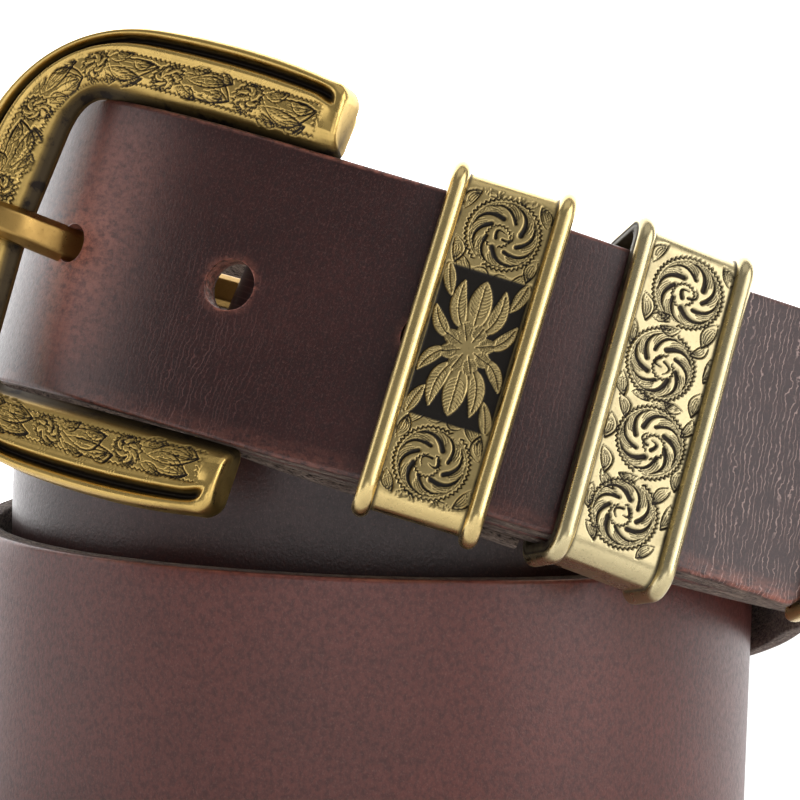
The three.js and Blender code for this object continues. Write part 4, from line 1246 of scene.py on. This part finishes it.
# Rows of name, spot, width, height and power
SOFTBOXES = (
    ("left_softbox", (-0.85, -0.05, 0.2), 0.45, 0.7, 1.3),
    ("right_softbox", (0.7, -0.32, 0.5), 0.6, 0.6, 2.5),
    ("right_low_softbox", (0.68, -0.4, 0.13), 0.5, 0.24, 1.2),
    ("right_front_softbox", (0.42, -0.68, 0.5), 0.4, 0.5, 0.6),
    ("top_softbox", (0.0, -0.15, 0.95), 0.9, 0.6, 0.7),
    ("front_softbox", (-0.1, -0.95, 0.1), 0.8, 0.3, 0.9),
)
WORLD_POWER = 0.22
CAMERA_ELEVATION, CAMERA_ROLL = np.radians(5), np.radians(2)
CAMERA_DISTANCE = 0.65
CAMERA_TARGET = (np.array([4.6, -50.0, 60.0]) + COIL_SHIFT) * MM
FOCAL_PIXELS = 5304
PHOTO_PIXELS = 800
SENSOR_WIDTH = 36


def stage_material(name, glow):
    return Shader(name).finish(
        Base_Color=(STAGE_SHADE, STAGE_SHADE, STAGE_SHADE, 1), Roughness=0.9,
        Emission_Color=(1, 1, 1, 1), Emission_Strength=glow,
    )


def stage():
    """A pale floor that curves up into a bright back wall."""
    across = np.linspace(-STAGE_HALF, STAGE_HALF, 3)
    bend = [
        (STAGE_BEND + BEND_RADIUS * np.sin(a), BEND_RADIUS * (1 - np.cos(a)))
        for a in np.radians(np.linspace(6, 90, 15))
    ]
    profile = [
        (STAGE_FRONT, 0.0), (0.3, 0.0), (STAGE_BEND, 0.0), *bend, (STAGE_BEND + BEND_RADIUS, STAGE_TOP),
    ]
    points = [(x, y, z) for y, z in profile for x in across]
    mesh = bpy.data.meshes.new("floor")
    mesh.from_pydata(points, [], grid_faces(len(profile), len(across)))
    mesh.polygons.foreach_set("use_smooth", np.ones(len(mesh.polygons), bool))
    mesh.materials.append(stage_material("stage_floor", FLOOR_GLOW))
    mesh.materials.append(stage_material("stage_wall", WALL_GLOW))
    is_wall = np.array([face.center.y > WALL_START for face in mesh.polygons], int)
    mesh.polygons.foreach_set("material_index", is_wall)
    add_object("floor", mesh)


def stand(thing, right, up, back, spot):
    """Puts a light or camera at a spot. It looks away from back."""
    matrix = np.eye(4)
    matrix[:3] = np.stack([right, up, back, spot], -1)
    thing.matrix_world = Matrix(matrix.tolist())


def softbox(name, spot, width, height, power):
    light = bpy.data.lights.new(name, "AREA")
    light.shape = "RECTANGLE"
    light.size, light.size_y = width, height
    light.energy = power
    back = unit(np.array(spot) - LIGHT_AIM)
    side = unit(np.cross([0, 0, 1.0], back))
    stand(add_object(name, light), side, np.cross(back, side), back, spot)


def studio_world():
    world = bpy.data.worlds.new("studio")
    world.use_nodes = True
    background = world.node_tree.nodes["Background"]
    background.inputs["Color"].default_value = (1, 1, 1, 1)
    background.inputs["Strength"].default_value = WORLD_POWER
    return world


def camera():
    """Looks from the front and a little above, rolled, as the photograph does."""
    data = bpy.data.cameras.new("camera")
    data.sensor_width = SENSOR_WIDTH
    data.lens = FOCAL_PIXELS / PHOTO_PIXELS * SENSOR_WIDTH
    data.clip_start, data.clip_end = 0.05, 20
    forward = np.array([0, np.cos(CAMERA_ELEVATION), -np.sin(CAMERA_ELEVATION)])
    level = np.array([1.0, 0, 0])
    above = np.cross(level, forward)
    right = np.cos(CAMERA_ROLL) * level + np.sin(CAMERA_ROLL) * above
    up = np.cos(CAMERA_ROLL) * above - np.sin(CAMERA_ROLL) * level
    seen = add_object("camera", data)
    stand(seen, right, up, -forward, CAMERA_TARGET - CAMERA_DISTANCE * forward)
    return seen


stage()
for row in SOFTBOXES:
    softbox(*row)
bpy.context.scene.world = studio_world()
bpy.context.scene.view_settings.view_transform = "Standard"
bpy.context.scene.camera = camera()
